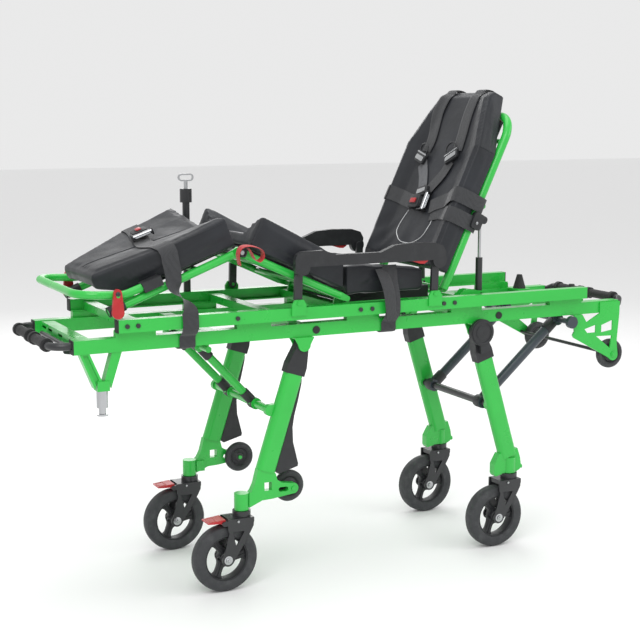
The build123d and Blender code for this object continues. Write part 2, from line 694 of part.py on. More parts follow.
# ---- couch -----------------------------------------------------------------------------------
def cushion(corners, half_width, bevel):
    """Closed foam block from a side profile, with softened long edges."""
    body = thick(outline(corners), (-half_width, half_width))
    return chamfer(body.edges().filter_by(Axis.Y).sort_by(Axis.Z)[-2:], bevel)


def sloping_plan(origin, direction, corners):
    """Prism square to a sloping couch section, over an outline of (distance along, half width)."""
    plane = Plane(
        origin=(origin[0], 0, origin[1]),
        x_dir=(direction[0], 0, direction[1]),
        z_dir=(direction[1], 0, -direction[0]),
    )
    other_side = [(s, -w) for s, w in reversed(corners)]
    return extrude(plane * make_face(Polyline(*corners, *other_side, close=True)), amount=120, both=True)


def seat_base():
    return [block((-58, 245), (-150, 150), (UPPER_CROSS_Z[1], 859.6))]


def seat_cushion():
    return [cushion([(-82, 868), (-70, 860), (186, 860), (186, 922), (-40, 948), (-82, 944)], COUCH_HALF_W, 10)]


def backrest_frame():
    points = []
    for y, u in ((-1, 0.0), (-1, BACK_TOP_U), (1, BACK_TOP_U), (1, 0.0)):
        x, z = back(u, BACK_TUBE_V)
        points.append((x, y * BACK_TUBE_Y, z))
    frame = bent_tube(points, BACK_TUBE_R, BACK_BEND)
    frame = frame + pin(BACK_PIVOT, (-BACK_TUBE_Y, BACK_TUBE_Y), 9)
    for u in BACK_BARS_U:
        frame = frame + pin(back(u, BACK_TUBE_V), (-BACK_TUBE_Y, BACK_TUBE_Y), 8)
    head = (STRUT_FOOT[0], STRUT_HEAD_Z)
    mount = local(head, BACK_DIR, (-BACK_DIR[1], BACK_DIR[0]))
    for y in ((188.5, 194.0), (-194.0, -188.5)):
        frame = frame + thick(taper(head, 9, mount(0, 26), 11), y)
    return [frame]


def backrest_board():
    corners = [back(52, 19.3), back(560, 19.3), back(560, 23.8), back(52, 23.8)]
    return [thick(outline(corners), (-184, 184))]


def backrest_cushion():
    """Full width up to the shoulders, then tapering to the headrest."""
    side = outline([back(44, 24.3), back(650, 24.3), back(645, 72), back(448, 96), back(44, 90)])
    plan = [(40, COUCH_HALF_W), (448, COUCH_HALF_W), (655, HEAD_HALF_W)]
    return [thick(side, (-COUCH_HALF_W, COUCH_HALF_W)) & sloping_plan(BACK_PIVOT, BACK_DIR, plan)]


def strut_cylinders():
    x, z = STRUT_FOOT
    barrel = rod((x, STRUT_Y, z - STRUT_TAIL), (x, STRUT_Y, z + STRUT_BARREL), STRUT_R)
    bore = rod((x, STRUT_Y, z - STRUT_TAIL + 5), (x, STRUT_Y, z + STRUT_BARREL + 1), STRUT_ROD_R + FIT)
    trunnion = pin(STRUT_FOOT, (160, 192), 5)
    return mirrored([barrel + trunnion - bore])


def strut_rods():
    x, z = STRUT_FOOT
    stem = rod((x, STRUT_Y, z + STRUT_ROD_IN), (x, STRUT_Y, STRUT_HEAD_Z), STRUT_ROD_R)
    eye = pin((x, STRUT_HEAD_Z), (STRUT_Y - 6, STRUT_Y + 6), 9)
    stub = pin((x, STRUT_HEAD_Z), (STRUT_Y, 188.0), 4)
    return mirrored([stem + eye + stub])


def couch_tube(place, start, end):
    a = place(start, 0)
    b = place(end, 0)
    return rod((a[0], COUCH_TUBE_Y, a[1]), (b[0], COUCH_TUBE_Y, b[1]), COUCH_TUBE_R)


def joined(solids):
    whole = solids[0]
    for solid in solids[1:]:
        whole = whole + solid
    return whole


def thigh_frame():
    side = couch_tube(thigh, 24, THIGH_LEN - 20)
    root = thick(taper(THIGH_PIVOT, 8.5, thigh(26, 0), 11), (206, 224))
    knuckle = thick(taper(thigh(THIGH_LEN - 28, 0), 12, KNEE, 14), (203.5, 209)) + pin(KNEE, (203.5, 222), 5)
    parts = mirrored([side, root, knuckle])
    parts.append(pin(THIGH_PIVOT, (-COUCH_TUBE_Y, COUCH_TUBE_Y), 8))
    for t in (120.0, 270.0):
        parts.append(pin(thigh(t, 0), (-COUCH_TUBE_Y, COUCH_TUBE_Y), 8))
    return [joined(parts)]


def thigh_board():
    corners = [thigh(60, 12.4), thigh(348, 12.4), thigh(348, 23.6), thigh(60, 23.6)]
    return [thick(outline(corners), (-190, 190))]


def thigh_cushion():
    corners = [(-86, 908), (-86, 950), thigh(90, 106), thigh(354, 108), thigh(357, 26), thigh(46, 24)]
    return [cushion(corners, COUCH_HALF_W, 10)]


def calf_frame():
    side = couch_tube(calf, 20, CALF_LEN)
    knuckle = thick(taper(calf(28, 0), 12, KNEE, 14), (209.4, 215)) - pin(KNEE, (200, 230), 5 + FIT)
    parts = mirrored([side, knuckle])
    for c in (130.0, 290.0):
        parts.append(pin(calf(c, 0), (-COUCH_TUBE_Y, COUCH_TUBE_Y), 8))
    start = calf(262, 26)
    hoop = [start, HOOP_KNEE, HOOP_FRONT]
    points = [(x, -HOOP_Y, z) for x, z in hoop] + [(x, HOOP_Y, z) for x, z in reversed(hoop)]
    parts.append(bent_tube(points, HOOP_R, HOOP_BEND))
    whole = joined(parts) + pin(LEVER_PIVOT, (HOOP_Y, LEVER_Y[1] + 2), 5)
    return [whole + pin(LEVER_PIVOT, (-LEVER_Y[1] - 2, -HOOP_Y), 5)]


def calf_fittings():
    clamp = outline([calf(248, 12.3), calf(306, 12.3), calf(306, 40), calf(248, 40)])
    clamp = thick(clamp, (205, 242))
    start = calf(262, 26)
    hole = rod(at_side(start, HOOP_Y), at_side(HOOP_KNEE, HOOP_Y), HOOP_R + GRIP_GAP)
    a = calf(368, 0)
    b = calf(CALF_LEN + 2, 0)
    sleeve = pipe(at_side(a, COUCH_TUBE_Y), at_side(b, COUCH_TUBE_Y), 15, COUCH_TUBE_R + GRIP_GAP)
    notch = rod(at_side(start, HOOP_Y), at_side(calf(200, 26), HOOP_Y), HOOP_R + GRIP_GAP)
    board = thick(outline([calf(24, 12.4), calf(330, 12.4), calf(330, 23.6), calf(24, 23.6)]), (-190, 190))
    return mirrored([clamp - hole - notch, sleeve]) + [board]


def calf_cushion():
    """Full width beside the knees, then tapering to the feet."""
    side = outline([calf(12, 26), calf(10, 102), calf(404, 100), calf(412, 80), calf(408, 60), calf(340, 26)])
    plan = [(0, COUCH_HALF_W), (198, COUCH_HALF_W), (415, CALF_END_HALF_W)]
    return [thick(side, (-COUCH_HALF_W, COUCH_HALF_W)) & sloping_plan(KNEE, CALF_DIR, plan)]


def foot_lever(side):
    y = LEVER_Y if side > 0 else (-LEVER_Y[1], -LEVER_Y[0])
    shape = taper((LEVER_PIVOT[0], 906), 11.5, (LEVER_PIVOT[0], 852), 17)
    return [thick(shape - disc(LEVER_PIVOT, 5 + FIT), y)]


# ---- armrests and pole -----------------------------------------------------------------------
def armrest_brackets():
    solids = []
    for x, z in ARM_LOWER:
        shape = outline(
            [(x - 23, 809), (x + 23, 809), (x + 23, 842), (x + 14, 856), (x - 14, 856), (x - 23, 842)]
        )
        plate = thick(shape, ARM_BRACKET_Y)
        axle = pin((x, z), (ARM_POST_Y[0] - 2, ARM_BRACKET_Y[1] + 3), ARM_PIN_R)
        solids.append(plate + axle + pin((x, z), (ARM_BRACKET_Y[1], ARM_BRACKET_Y[1] + 2), 8))
    return mirrored(solids)


def arm_post(index, side):
    low = ARM_LOWER[index]
    high = ARM_UPPER[index]
    y = ARM_POST_Y if side > 0 else (-ARM_POST_Y[1], -ARM_POST_Y[0])
    bar = thick(taper(low, ARM_POST_R, high, ARM_POST_R) - disc(low, ARM_PIN_R + FIT), y)
    y_pin = (ARM_POST_Y[0], 263.0) if side > 0 else (-263.0, -ARM_POST_Y[0])
    return [bar + pin(high, y_pin, ARM_PIN_R)]


def arm_beam(side):
    y = ARM_BEAM_Y if side > 0 else (-ARM_BEAM_Y[1], -ARM_BEAM_Y[0])
    top = outline(
        [
            (-272, 955), (-274.5, 975), (-268, 990), (-252, 998), (-184, 999), (-140, 985), (8, 985),
            (56, 1004), (120, 1008), (190, 1006), (222, 996), (233.5, 976), (232, 955), (180, 953), (-218, 953),
        ]
    )
    shape = top
    for x, z in ARM_UPPER:
        shape = shape + disc((x, z), ARM_BOSS_R)
    beam = thick(shape, y)
    slot = outline([(58, 940), (180, 940), (182, 984), (64, 984), (58, 972)])
    slot_y = (TRIGGER_Y[0] - 1, TRIGGER_Y[1] + 1)
    bore_y = (ARM_BEAM_Y[0] - 1, 264.0)
    if side < 0:
        slot_y = (-slot_y[1], -slot_y[0])
        bore_y = (-bore_y[1], -bore_y[0])
    beam = beam - thick(slot, slot_y)
    for x, z in ARM_UPPER:
        beam = beam - pin((x, z), bore_y, ARM_PIN_R + FIT)
    return [beam + pin(TRIGGER_PIVOT, y, 3)]


def arm_trigger(side):
    y = TRIGGER_Y if side > 0 else (-TRIGGER_Y[1], -TRIGGER_Y[0])
    shape = outline(
        [(70, 968), (174, 967), (170, 950), (158, 943), (144, 944), (118, 952), (84, 954), (70, 956)]
    )
    shape = shape + disc(TRIGGER_PIVOT, 8) - disc(TRIGGER_PIVOT, 3 + FIT)
    return [thick(shape, y)]


def iv_pole_tube():
    tube = rod((POLE_X, POLE_Y, POLE_Z[0]), (POLE_X, POLE_Y, POLE_Z[1]), POLE_R)
    collar = rod((POLE_X, POLE_Y, COLLAR_Z[0]), (POLE_X, POLE_Y, COLLAR_Z[1]), COLLAR_R)
    bore = rod((POLE_X, POLE_Y, POLE_Z[0] + 6), (POLE_X, POLE_Y, COLLAR_Z[1] + 1), POLE_ROD_R + FIT)
    return [tube + collar - bore]


def iv_pole_rod():
    rod_low = POLE_Z[0] + 8
    loop_z = HOOK_TOP - 13
    stem = rod((POLE_X, POLE_Y, rod_low), (POLE_X, POLE_Y, loop_z - 8), POLE_ROD_R)
    band = taper((POLE_X - 14, loop_z), 12, (POLE_X + 14, loop_z), 12)
    hole = taper((POLE_X - 14, loop_z), 7, (POLE_X + 14, loop_z), 7)
    ring = thick(band - hole, (POLE_Y - 3, POLE_Y + 3))
    return [stem + ring]


# ---- node list -------------------------------------------------------------------------------
NODES = {
    "lower_rails": lower_rails(),
    "upper_rails": upper_rails(),
    "base_crossmembers": base_crossmembers(),
    "upper_crossmembers": upper_crossmembers(),
    "leg_hinge_brackets": leg_hinge_brackets(),
    "lock_peg_bracket": lock_peg_bracket(),
    "lock_peg": lock_peg(),
    "loading_brackets": loading_brackets(),
    "rubber_caps": rubber_caps(),
    "rail_bolts": rail_bolts(),
    "handle_bars": handle_bars(),
    "handle_grips": handle_grips(),
    "release_handle": release_handle(),
    "foot_legs": foot_legs(),
    "foot_leg_plastics": foot_leg_plastics(),
    "foot_braces": foot_braces(),
    "head_legs": head_legs(),
    "head_leg_covers": head_leg_covers(),
    "head_cross_tube": head_cross_tube(),
    "head_braces": head_braces(),
    "seat_base": seat_base(),
    "seat_cushion": seat_cushion(),
    "backrest_frame": backrest_frame(),
    "backrest_board": backrest_board(),
    "backrest_cushion": backrest_cushion(),
    "strut_cylinders": strut_cylinders(),
    "strut_rods": strut_rods(),
    "thigh_frame": thigh_frame(),
    "thigh_board": thigh_board(),
    "thigh_cushion": thigh_cushion(),
    "calf_frame": calf_frame(),
    "calf_fittings": calf_fittings(),
    "calf_cushion": calf_cushion(),
    "armrest_brackets": armrest_brackets(),
    "iv_pole_tube": iv_pole_tube(),
    "iv_pole_rod": iv_pole_rod(),
}
for word, sign in (("left", 1), ("right", -1)):
    NODES[f"foot_caster_fork_{word}"] = caster_fork(FOOT_CASTER_X, sign * CASTER_Y, True)
    NODES[f"foot_caster_wheel_{word}"] = caster_wheel(FOOT_CASTER_X, sign * CASTER_Y)
    NODES[f"brake_pedal_{word}"] = brake_pedal(FOOT_CASTER_X, sign * CASTER_Y)
    NODES[f"head_caster_fork_{word}"] = caster_fork(HEAD_CASTER_X, sign * HEAD_CASTER_Y, False)
    NODES[f"head_caster_wheel_{word}"] = caster_wheel(HEAD_CASTER_X, sign * HEAD_CASTER_Y)
    span = TRANSIT_Y if sign > 0 else (-TRANSIT_Y[1], -TRANSIT_Y[0])
    NODES[f"transit_wheel_{word}"] = plain_wheel(TRANSIT_C, TRANSIT_R, span)
    span = LOADING_Y if sign > 0 else (-LOADING_Y[1], -LOADING_Y[0])
    NODES[f"loading_wheel_{word}"] = plain_wheel(LOADING_C, LOADING_R, span)
    NODES[f"foot_lever_{word}"] = foot_lever(sign)
    NODES[f"armrest_front_post_{word}"] = arm_post(0, sign)
    NODES[f"armrest_rear_post_{word}"] = arm_post(1, sign)
    NODES[f"armrest_beam_{word}"] = arm_beam(sign)
    NODES[f"armrest_trigger_{word}"] = arm_trigger(sign)

os.makedirs("parts", exist_ok=True)
for name, solids in NODES.items():
    pieces = [piece for shape in solids for piece in shape.solids()]
    export_step(Compound(children=pieces), f"parts/{name}.step")
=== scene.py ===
"""A stretcher trolley: looks for its metal frame, wheels, cushions, belts and buckles."""
import json
import math

import bmesh
import bpy
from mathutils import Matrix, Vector
from mathutils.bvhtree import BVHTree


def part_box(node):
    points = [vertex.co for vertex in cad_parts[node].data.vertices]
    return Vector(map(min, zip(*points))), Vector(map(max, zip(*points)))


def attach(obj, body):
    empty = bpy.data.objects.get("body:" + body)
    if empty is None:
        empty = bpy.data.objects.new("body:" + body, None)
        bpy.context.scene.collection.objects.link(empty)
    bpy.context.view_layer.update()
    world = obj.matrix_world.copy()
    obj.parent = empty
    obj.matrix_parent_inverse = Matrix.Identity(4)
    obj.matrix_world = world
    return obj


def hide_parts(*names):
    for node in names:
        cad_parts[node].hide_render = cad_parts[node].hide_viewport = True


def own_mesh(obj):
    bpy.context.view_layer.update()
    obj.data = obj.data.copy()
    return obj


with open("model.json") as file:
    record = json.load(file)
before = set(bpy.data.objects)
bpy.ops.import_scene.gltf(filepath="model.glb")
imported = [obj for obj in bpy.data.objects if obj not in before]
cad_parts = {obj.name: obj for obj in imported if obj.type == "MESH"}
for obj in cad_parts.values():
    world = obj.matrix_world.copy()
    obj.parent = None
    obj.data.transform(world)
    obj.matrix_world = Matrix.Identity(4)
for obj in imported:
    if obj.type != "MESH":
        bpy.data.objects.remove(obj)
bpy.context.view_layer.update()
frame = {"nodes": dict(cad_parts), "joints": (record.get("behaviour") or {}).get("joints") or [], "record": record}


# ---------------------------------------------------------------- materials

class Finish:
    """A procedural material, built one node at a time on its Principled shader."""

    def __init__(self, name, colour, roughness, metallic=0.0):
        self.material = bpy.data.materials.new(name)
        self.material.use_nodes = True
        self.nodes = self.material.node_tree.nodes
        self.links = self.material.node_tree.links
        self.shader = self.nodes["Principled BSDF"]
        self.shader.inputs["Base Color"].default_value = (*colour, 1)
        self.shader.inputs["Roughness"].default_value = roughness
        self.shader.inputs["Metallic"].default_value = metallic
        self.material.diffuse_color = (*colour, 1)
        self.place = self.nodes.new("ShaderNodeTexCoord").outputs["Object"]
        self.height = None

    def set(self, **values):
        """Sets shader sockets that are the same all over the surface."""
        for name, value in values.items():
            self.shader.inputs[name.replace("_", " ")].default_value = value
        return self

    def stretched(self, scale, turn=(0, 0, 0)):
        """The object's coordinates, scaled differently along each axis."""
        mapping = self.nodes.new("ShaderNodeMapping")
        mapping.inputs["Scale"].default_value = scale
        mapping.inputs["Rotation"].default_value = turn
        self.links.new(self.place, mapping.inputs["Vector"])
        return mapping.outputs["Vector"]

    def noise(self, scale, detail=4.0, roughness=0.55, place=None):
        node = self.nodes.new("ShaderNodeTexNoise")
        node.inputs["Scale"].default_value = scale
        node.inputs["Detail"].default_value = detail
        node.inputs["Roughness"].default_value = roughness
        self.links.new(place or self.place, node.inputs["Vector"])
        return node.outputs["Fac"]

    def cells(self, scale, place=None):
        node = self.nodes.new("ShaderNodeTexVoronoi")
        node.inputs["Scale"].default_value = scale
        self.links.new(place or self.place, node.inputs["Vector"])
        return node.outputs["Distance"]

    def wave(self, scale, direction="X", place=None):
        node = self.nodes.new("ShaderNodeTexWave")
        node.bands_direction = direction
        node.inputs["Scale"].default_value = scale
        self.links.new(place or self.place, node.inputs["Vector"])
        return node.outputs["Fac"]

    def ranged(self, value, low, high, start=0.0, end=1.0):
        """The value, taken from low..high to start..end and kept within them."""
        node = self.nodes.new("ShaderNodeMapRange")
        for name, number in (("From Min", low), ("From Max", high), ("To Min", start), ("To Max", end)):
            node.inputs[name].default_value = number
        self.links.new(value, node.inputs["Value"])
        return node.outputs["Result"]

    def math(self, kind, first, second):
        node = self.nodes.new("ShaderNodeMath")
        node.operation = kind
        for socket, value in zip(node.inputs, (first, second)):
            if isinstance(value, (int, float)):
                socket.default_value = value
            else:
                self.links.new(value, socket)
        return node.outputs["Value"]

    def tint(self, mask, colour):
        """Paints the colour where the mask is 1, over what the base colour is so far."""
        node = self.nodes.new("ShaderNodeMix")
        node.data_type = "RGBA"
        base = self.shader.inputs["Base Color"]
        if base.is_linked:
            self.links.new(base.links[0].from_socket, node.inputs["A"])
        else:
            node.inputs["A"].default_value = base.default_value
        node.inputs["B"].default_value = (*colour, 1)
        self.links.new(mask, node.inputs["Factor"])
        self.links.new(node.outputs["Result"], base)
        return self

    def rough(self, value):
        self.links.new(value, self.shader.inputs["Roughness"])
        return self

    def metal(self, value):
        self.links.new(value, self.shader.inputs["Metallic"])
        return self

    def bump(self, height, distance, strength=1.0):
        """Adds one more layer of relief, distance metres high."""
        node = self.nodes.new("ShaderNodeBump")
        node.inputs["Strength"].default_value = strength
        node.inputs["Distance"].default_value = distance
        self.links.new(height, node.inputs["Height"])
        if self.height:
            self.links.new(self.height, node.inputs["Normal"])
        self.height = node.outputs["Normal"]
        self.links.new(self.height, self.shader.inputs["Normal"])
        return self


def painted(name, colour, deeper, metal=(0.42, 0.43, 0.42), roughness=0.3):
    """Powder coat: orange peel, faint cloudiness, dust and a few chips down to primer."""
    paint = Finish(name, colour, roughness).set(Coat_Weight=0.25, Coat_Roughness=0.12)
    paint.tint(paint.ranged(paint.noise(7), 0.35, 0.75, 0.0, 0.5), deeper)
    chips = paint.math("MULTIPLY", paint.ranged(paint.noise(38, 6, 0.7), 0.735, 0.75),
                       paint.ranged(paint.noise(3.1, 2), 0.5, 0.62))
    paint.tint(chips, metal)
    paint.rough(paint.ranged(paint.noise(16, 5), 0.3, 0.8, roughness - 0.06, roughness + 0.14))
    return paint.bump(paint.noise(620, 2), 0.00012, 0.5).bump(chips, -0.0002, 0.6)


def moulded(name, colour, lighter, roughness=0.5, grain=900):
    """Moulded plastic: a fine spark-eroded grain, with paler rubbed patches."""
    plastic = Finish(name, colour, roughness)
    plastic.tint(plastic.ranged(plastic.noise(22, 5, 0.65), 0.48, 0.72, 0.0, 0.45), lighter)
    plastic.rough(plastic.ranged(plastic.noise(34, 4), 0.3, 0.75, roughness - 0.1, roughness + 0.12))
    return plastic.bump(plastic.cells(grain), 0.00015, 0.6)


def brushed(name, colour, roughness, direction=(40, 900, 900)):
    """Bare metal drawn along one axis, with fine scratches."""
    metal = Finish(name, colour, roughness, 1.0)
    lines = metal.noise(1.0, 5, 0.7, metal.stretched(direction))
    metal.rough(metal.ranged(lines, 0.3, 0.75, roughness - 0.08, roughness + 0.16))
    metal.tint(metal.ranged(lines, 0.35, 0.8, 0.0, 0.3), tuple(0.6 * part for part in colour))
    return metal.bump(lines, 0.00006, 0.4)


def plated():
    """Chrome plate, with faint smudges and pin-pricks."""
    chrome = Finish("chrome_plate", (0.46, 0.47, 0.48), 0.12, 1.0)
    chrome.rough(chrome.ranged(chrome.noise(60, 5), 0.35, 0.8, 0.05, 0.24))
    chrome.tint(chrome.ranged(chrome.noise(420, 3), 0.66, 0.72, 0.0, 0.6), (0.3, 0.29, 0.28))
    return chrome.bump(chrome.noise(240, 3), 0.00004, 0.3)


def tyre_rubber():
    """Matt grey-black polyurethane, dusty on the tread."""
    rubber = Finish("tyre_rubber", (0.035, 0.037, 0.04), 0.62)
    rubber.tint(rubber.ranged(rubber.noise(26, 6, 0.7), 0.5, 0.72, 0.0, 0.55), (0.085, 0.087, 0.09))
    rubber.rough(rubber.ranged(rubber.noise(48, 4), 0.3, 0.7, 0.52, 0.78))
    return rubber.bump(rubber.noise(700, 3), 0.0002, 0.6)


def coated_fabric():
    """Charcoal coated fabric: pebbled leather grain, soft creases and a blue-grey bloom."""
    vinyl = Finish("vinyl", (0.016, 0.0175, 0.021), 0.44)
    vinyl.set(Sheen_Weight=0.05, Sheen_Roughness=0.4, Specular_IOR_Level=0.32)
    vinyl.tint(vinyl.ranged(vinyl.noise(5.5, 4), 0.4, 0.72, 0.0, 0.65), (0.026, 0.029, 0.036))
    vinyl.tint(vinyl.ranged(vinyl.noise(52, 6, 0.7), 0.62, 0.74, 0.0, 0.3), (0.048, 0.053, 0.063))
    vinyl.rough(vinyl.ranged(vinyl.noise(12, 5), 0.3, 0.72, 0.36, 0.56))
    vinyl.bump(vinyl.noise(9, 3, 0.5, vinyl.stretched((1.6, 0.7, 1.6))), 0.006, 0.35)
    vinyl.bump(vinyl.noise(34, 4), 0.0011, 0.35)
    return vinyl.bump(vinyl.cells(780), 0.00022, 0.55)


def woven(name, colour, lighter, pitch=820):
    """Seat-belt webbing: a close twill, with fuzz along it."""
    web = Finish(name, colour, 0.68).set(Sheen_Weight=0.3, Sheen_Roughness=0.4)
    warp = web.wave(pitch / 6.3, "DIAGONAL")
    weft = web.wave(pitch / 5.1, "DIAGONAL", web.stretched((1, -1, 1)))
    weave = web.math("MAXIMUM", warp, weft)
    web.tint(web.ranged(weave, 0.2, 0.95, 0.0, 0.55), lighter)
    web.tint(web.ranged(web.noise(60, 5), 0.5, 0.8, 0.0, 0.4), tuple(0.45 * part for part in colour))
    return web.bump(weave, 0.0005, 0.7).bump(web.noise(900, 2), 0.0003, 0.4)


PAINT = painted("green_paint", (0.022, 0.48, 0.054), (0.015, 0.385, 0.042)).material
SLATE = painted("slate_paint", (0.03, 0.042, 0.055), (0.02, 0.028, 0.038), (0.3, 0.31, 0.32), 0.42).material
BLACK = painted("black_paint", (0.014, 0.015, 0.017), (0.022, 0.023, 0.026), (0.2, 0.2, 0.2), 0.36).material
PLASTIC = moulded("black_plastic", (0.015, 0.016, 0.018), (0.034, 0.036, 0.04)).material
SOFT_RUBBER = moulded("soft_rubber", (0.017, 0.017, 0.018), (0.035, 0.035, 0.036), 0.72, 500).material
RED = moulded("red_plastic", (0.42, 0.012, 0.016), (0.56, 0.035, 0.035), 0.36, 700).material
PALE_RED = moulded("pale_red", (0.55, 0.16, 0.15), (0.66, 0.3, 0.28), 0.45, 700).material
TYRE = tyre_rubber().material
STEEL = brushed("bright_steel", (0.5, 0.51, 0.52), 0.3).material
CHROME = plated().material
VINYL = coated_fabric().material
BLACK_WEB = woven("black_webbing", (0.017, 0.018, 0.02), (0.05, 0.052, 0.057)).material
GREY_WEB = woven("grey_webbing", (0.07, 0.073, 0.08), (0.16, 0.165, 0.175)).material
WHITE_THREAD = moulded("white_thread", (0.62, 0.63, 0.64), (0.75, 0.75, 0.76), 0.6, 1500).material
RED_WEB = woven("red_webbing", (0.4, 0.01, 0.015), (0.62, 0.04, 0.04)).material

SLOT_FINISH = {
    "paint_green": PAINT, "black_metal": BLACK, "black_plastic": PLASTIC, "rubber": SOFT_RUBBER,
    "tyre": TYRE, "vinyl": VINYL, "slate_metal": SLATE, "bright_steel": STEEL, "chrome": CHROME,
    "red_plastic": RED,
}


def dress_cad_nodes():
    """Gives each carried-over node its slot's finish; the rail bolts are blackened steel."""
    slots = {part["node"]: part["material_slot"] for part in frame["record"]["subparts"]}
    for name, node in frame["nodes"].items():
        finish = BLACK if name == "rail_bolts" else SLOT_FINISH[slots[name]]
        for holder in node.material_slots:
            holder.material = finish


# ---------------------------------------------------------------- mesh tools

WEB_COLUMNS = 7


def piece(name, verts, faces, finish, body, crease=35, bevel=0.0):
    """A mesh object that rides on a body; bevel rounds its hard edges by that many metres."""
    mesh = bpy.data.meshes.new(name)
    mesh.from_pydata([tuple(v) for v in verts], [], faces)
    shape = bmesh.new()
    shape.from_mesh(mesh)
    bmesh.ops.remove_doubles(shape, verts=shape.verts, dist=1e-6)
    bmesh.ops.recalc_face_normals(shape, faces=shape.faces)
    if bevel:
        hard = [edge for edge in shape.edges if edge.calc_face_angle(0) > math.radians(crease)]
        bmesh.ops.bevel(shape, geom=hard, offset=bevel, segments=2, profile=0.6, affect="EDGES",
                        clamp_overlap=True)
    shape.to_mesh(mesh)
    shape.free()
    mesh.shade_smooth()
    mesh.set_sharp_from_angle(angle=math.radians(crease))
    mesh.materials.append(finish)
    made = bpy.data.objects.new(name, mesh)
    bpy.context.scene.collection.objects.link(made)
    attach(made, body)
    return made


def grid_faces(rows, columns, closed_rows=False, closed_columns=True):
    """Quads over rows of columns points each."""
    faces = []
    for row in range(rows if closed_rows else rows - 1):
        following = (row + 1) % rows
        for column in range(columns if closed_columns else columns - 1):
            beside = (column + 1) % columns
            faces.append((row * columns + column, row * columns + beside,
                          following * columns + beside, following * columns + column))
    return faces


def turned(name, profile, centre, finish, body, axis=(0, 1, 0), steps=48, ring=False, bevel=0.0):
    """A turned part: profile is (radius, along) pairs; a ring's profile closes on itself."""
    spin = Vector(axis).to_track_quat("Z", "Y").to_matrix()
    verts = []
    for step in range(steps):
        angle = math.tau * step / steps
        for radius, along in profile:
            local = Vector((radius * math.cos(angle), radius * math.sin(angle), along))
            verts.append(Vector(centre) + spin @ local)
    faces = grid_faces(steps, len(profile), closed_rows=True, closed_columns=ring)
    return piece(name, verts, faces, finish, body, bevel=bevel)


def slab(name, outline, low, high, place, finish, body, bevel=0.0, crease=35):
    """A plate: a flat outline of (a, b) pairs between two heights; place maps (a, b, height)."""
    count = len(outline)
    verts = [place(a, b, low) for a, b in outline] + [place(a, b, high) for a, b in outline]
    faces = [tuple(range(count)), tuple(range(count, 2 * count))]
    faces += [(i, (i + 1) % count, count + (i + 1) % count, count + i) for i in range(count)]
    return piece(name, verts, faces, finish, body, crease, bevel)


def smooth_line(points, per_span=8):
    """Catmull-Rom points through a few chosen ones."""
    points = [Vector(point) for point in points]
    ends = [2 * points[0] - points[1]] + points + [2 * points[-1] - points[-2]]
    line = []
    for a, b, c, d in zip(ends, ends[1:], ends[2:], ends[3:]):
        for step in range(per_span):
            t = step / per_span
            line.append(0.5 * (2 * b + (c - a) * t + (2 * a - 5 * b + 4 * c - d) * t * t
                               + (3 * b - a - 3 * c + d) * t ** 3))
    return line + [points[-1]]


def tube(name, line, radius, finish, body, sides=10, closed=False):
    """A round tube along a line of points."""
    verts = []
    count = len(line)
    side = None
    for index, point in enumerate(line):
        before = line[index - 1] if index or closed else line[0]
        after = line[(index + 1) % count] if index < count - 1 or closed else line[-1]
        forward = (after - before).normalized()
        side = (side - forward * side.dot(forward)) if side else forward.orthogonal()
        side.normalize()
        other = forward.cross(side)
        verts += [point + radius * (math.cos(a) * side + math.sin(a) * other)
                  for a in (math.tau * k / sides for k in range(sides))]
    faces = grid_faces(count, sides, closed_rows=closed)
    if not closed:
        faces += [tuple(range(sides)), tuple(range((count - 1) * sides, count * sides))]
    return piece(name, verts, faces, finish, body, crease=60)


def web_spots(width):
    """Distances of a strip's columns from its middle."""
    return [width * (k / (WEB_COLUMNS - 1) - 0.5) for k in range(WEB_COLUMNS)]


def web_faces(count):
    """Faces of a strip with two sides and closed ends, over count rows."""
    ring = 2 * WEB_COLUMNS
    return grid_faces(count, ring) + [tuple(range(ring)), tuple(range((count - 1) * ring, count * ring))]


def webbing(name, line, across, width, finish, body, thickness=0.0016):
    """Flat webbing along a line; across is one direction, or one for each point."""
    verts = []
    count = len(line)
    for index, point in enumerate(line):
        before, after = line[max(index - 1, 0)], line[min(index + 1, count - 1)]
        forward = (after - before).normalized()
        wide = Vector(across[index] if isinstance(across, list) else across)
        wide = (wide - forward * wide.dot(forward)).normalized()
        rise = forward.cross(wide) * thickness / 2
        lifts = [rise * (0.4 if k in (0, WEB_COLUMNS - 1) else 1) for k in range(WEB_COLUMNS)]
        pairs = list(zip(web_spots(width), lifts))
        verts += [point + wide * spot + lift for spot, lift in pairs]
        verts += [point + wide * spot - lift for spot, lift in pairs[::-1]]
    return piece(name, verts, web_faces(count), finish, body, crease=60)


# ---------------------------------------------------------------- couch

def pivot(joint):
    return Vector(next(j for j in frame["joints"] if j["name"] == joint)["pos_m"])


class Slope:
    """Places points by distance along a couch section, across it and above it."""

    def __init__(self, origin, along, up):
        self.origin, self.along, self.up = origin, along.normalized(), up.normalized()

    def __call__(self, s, y, n):
        return self.origin + self.along * s + Vector((0, y, 0)) + self.up * n


HIP, KNEE, BACK = pivot("thigh_lift"), pivot("calf_hinge"), pivot("backrest_tilt")
FOOT_END = Vector((-0.8145, 0, 0.851))
thigh_along = (KNEE - HIP).normalized()
calf_along = (FOOT_END - KNEE).normalized()
BACK_TILT = math.radians(64.7)
back_along = Vector((math.cos(BACK_TILT), 0, math.sin(BACK_TILT)))
THIGH = Slope(HIP, thigh_along, Vector((thigh_along.z, 0, -thigh_along.x)))
CALF = Slope(KNEE, calf_along, Vector((calf_along.z, 0, -calf_along.x)))
BACKREST = Slope(BACK, back_along, Vector((-back_along.z, 0, back_along.x)))
SEAT = Slope(Vector((0, 0, 0)), Vector((1, 0, 0)), Vector((0, 0, 1)))

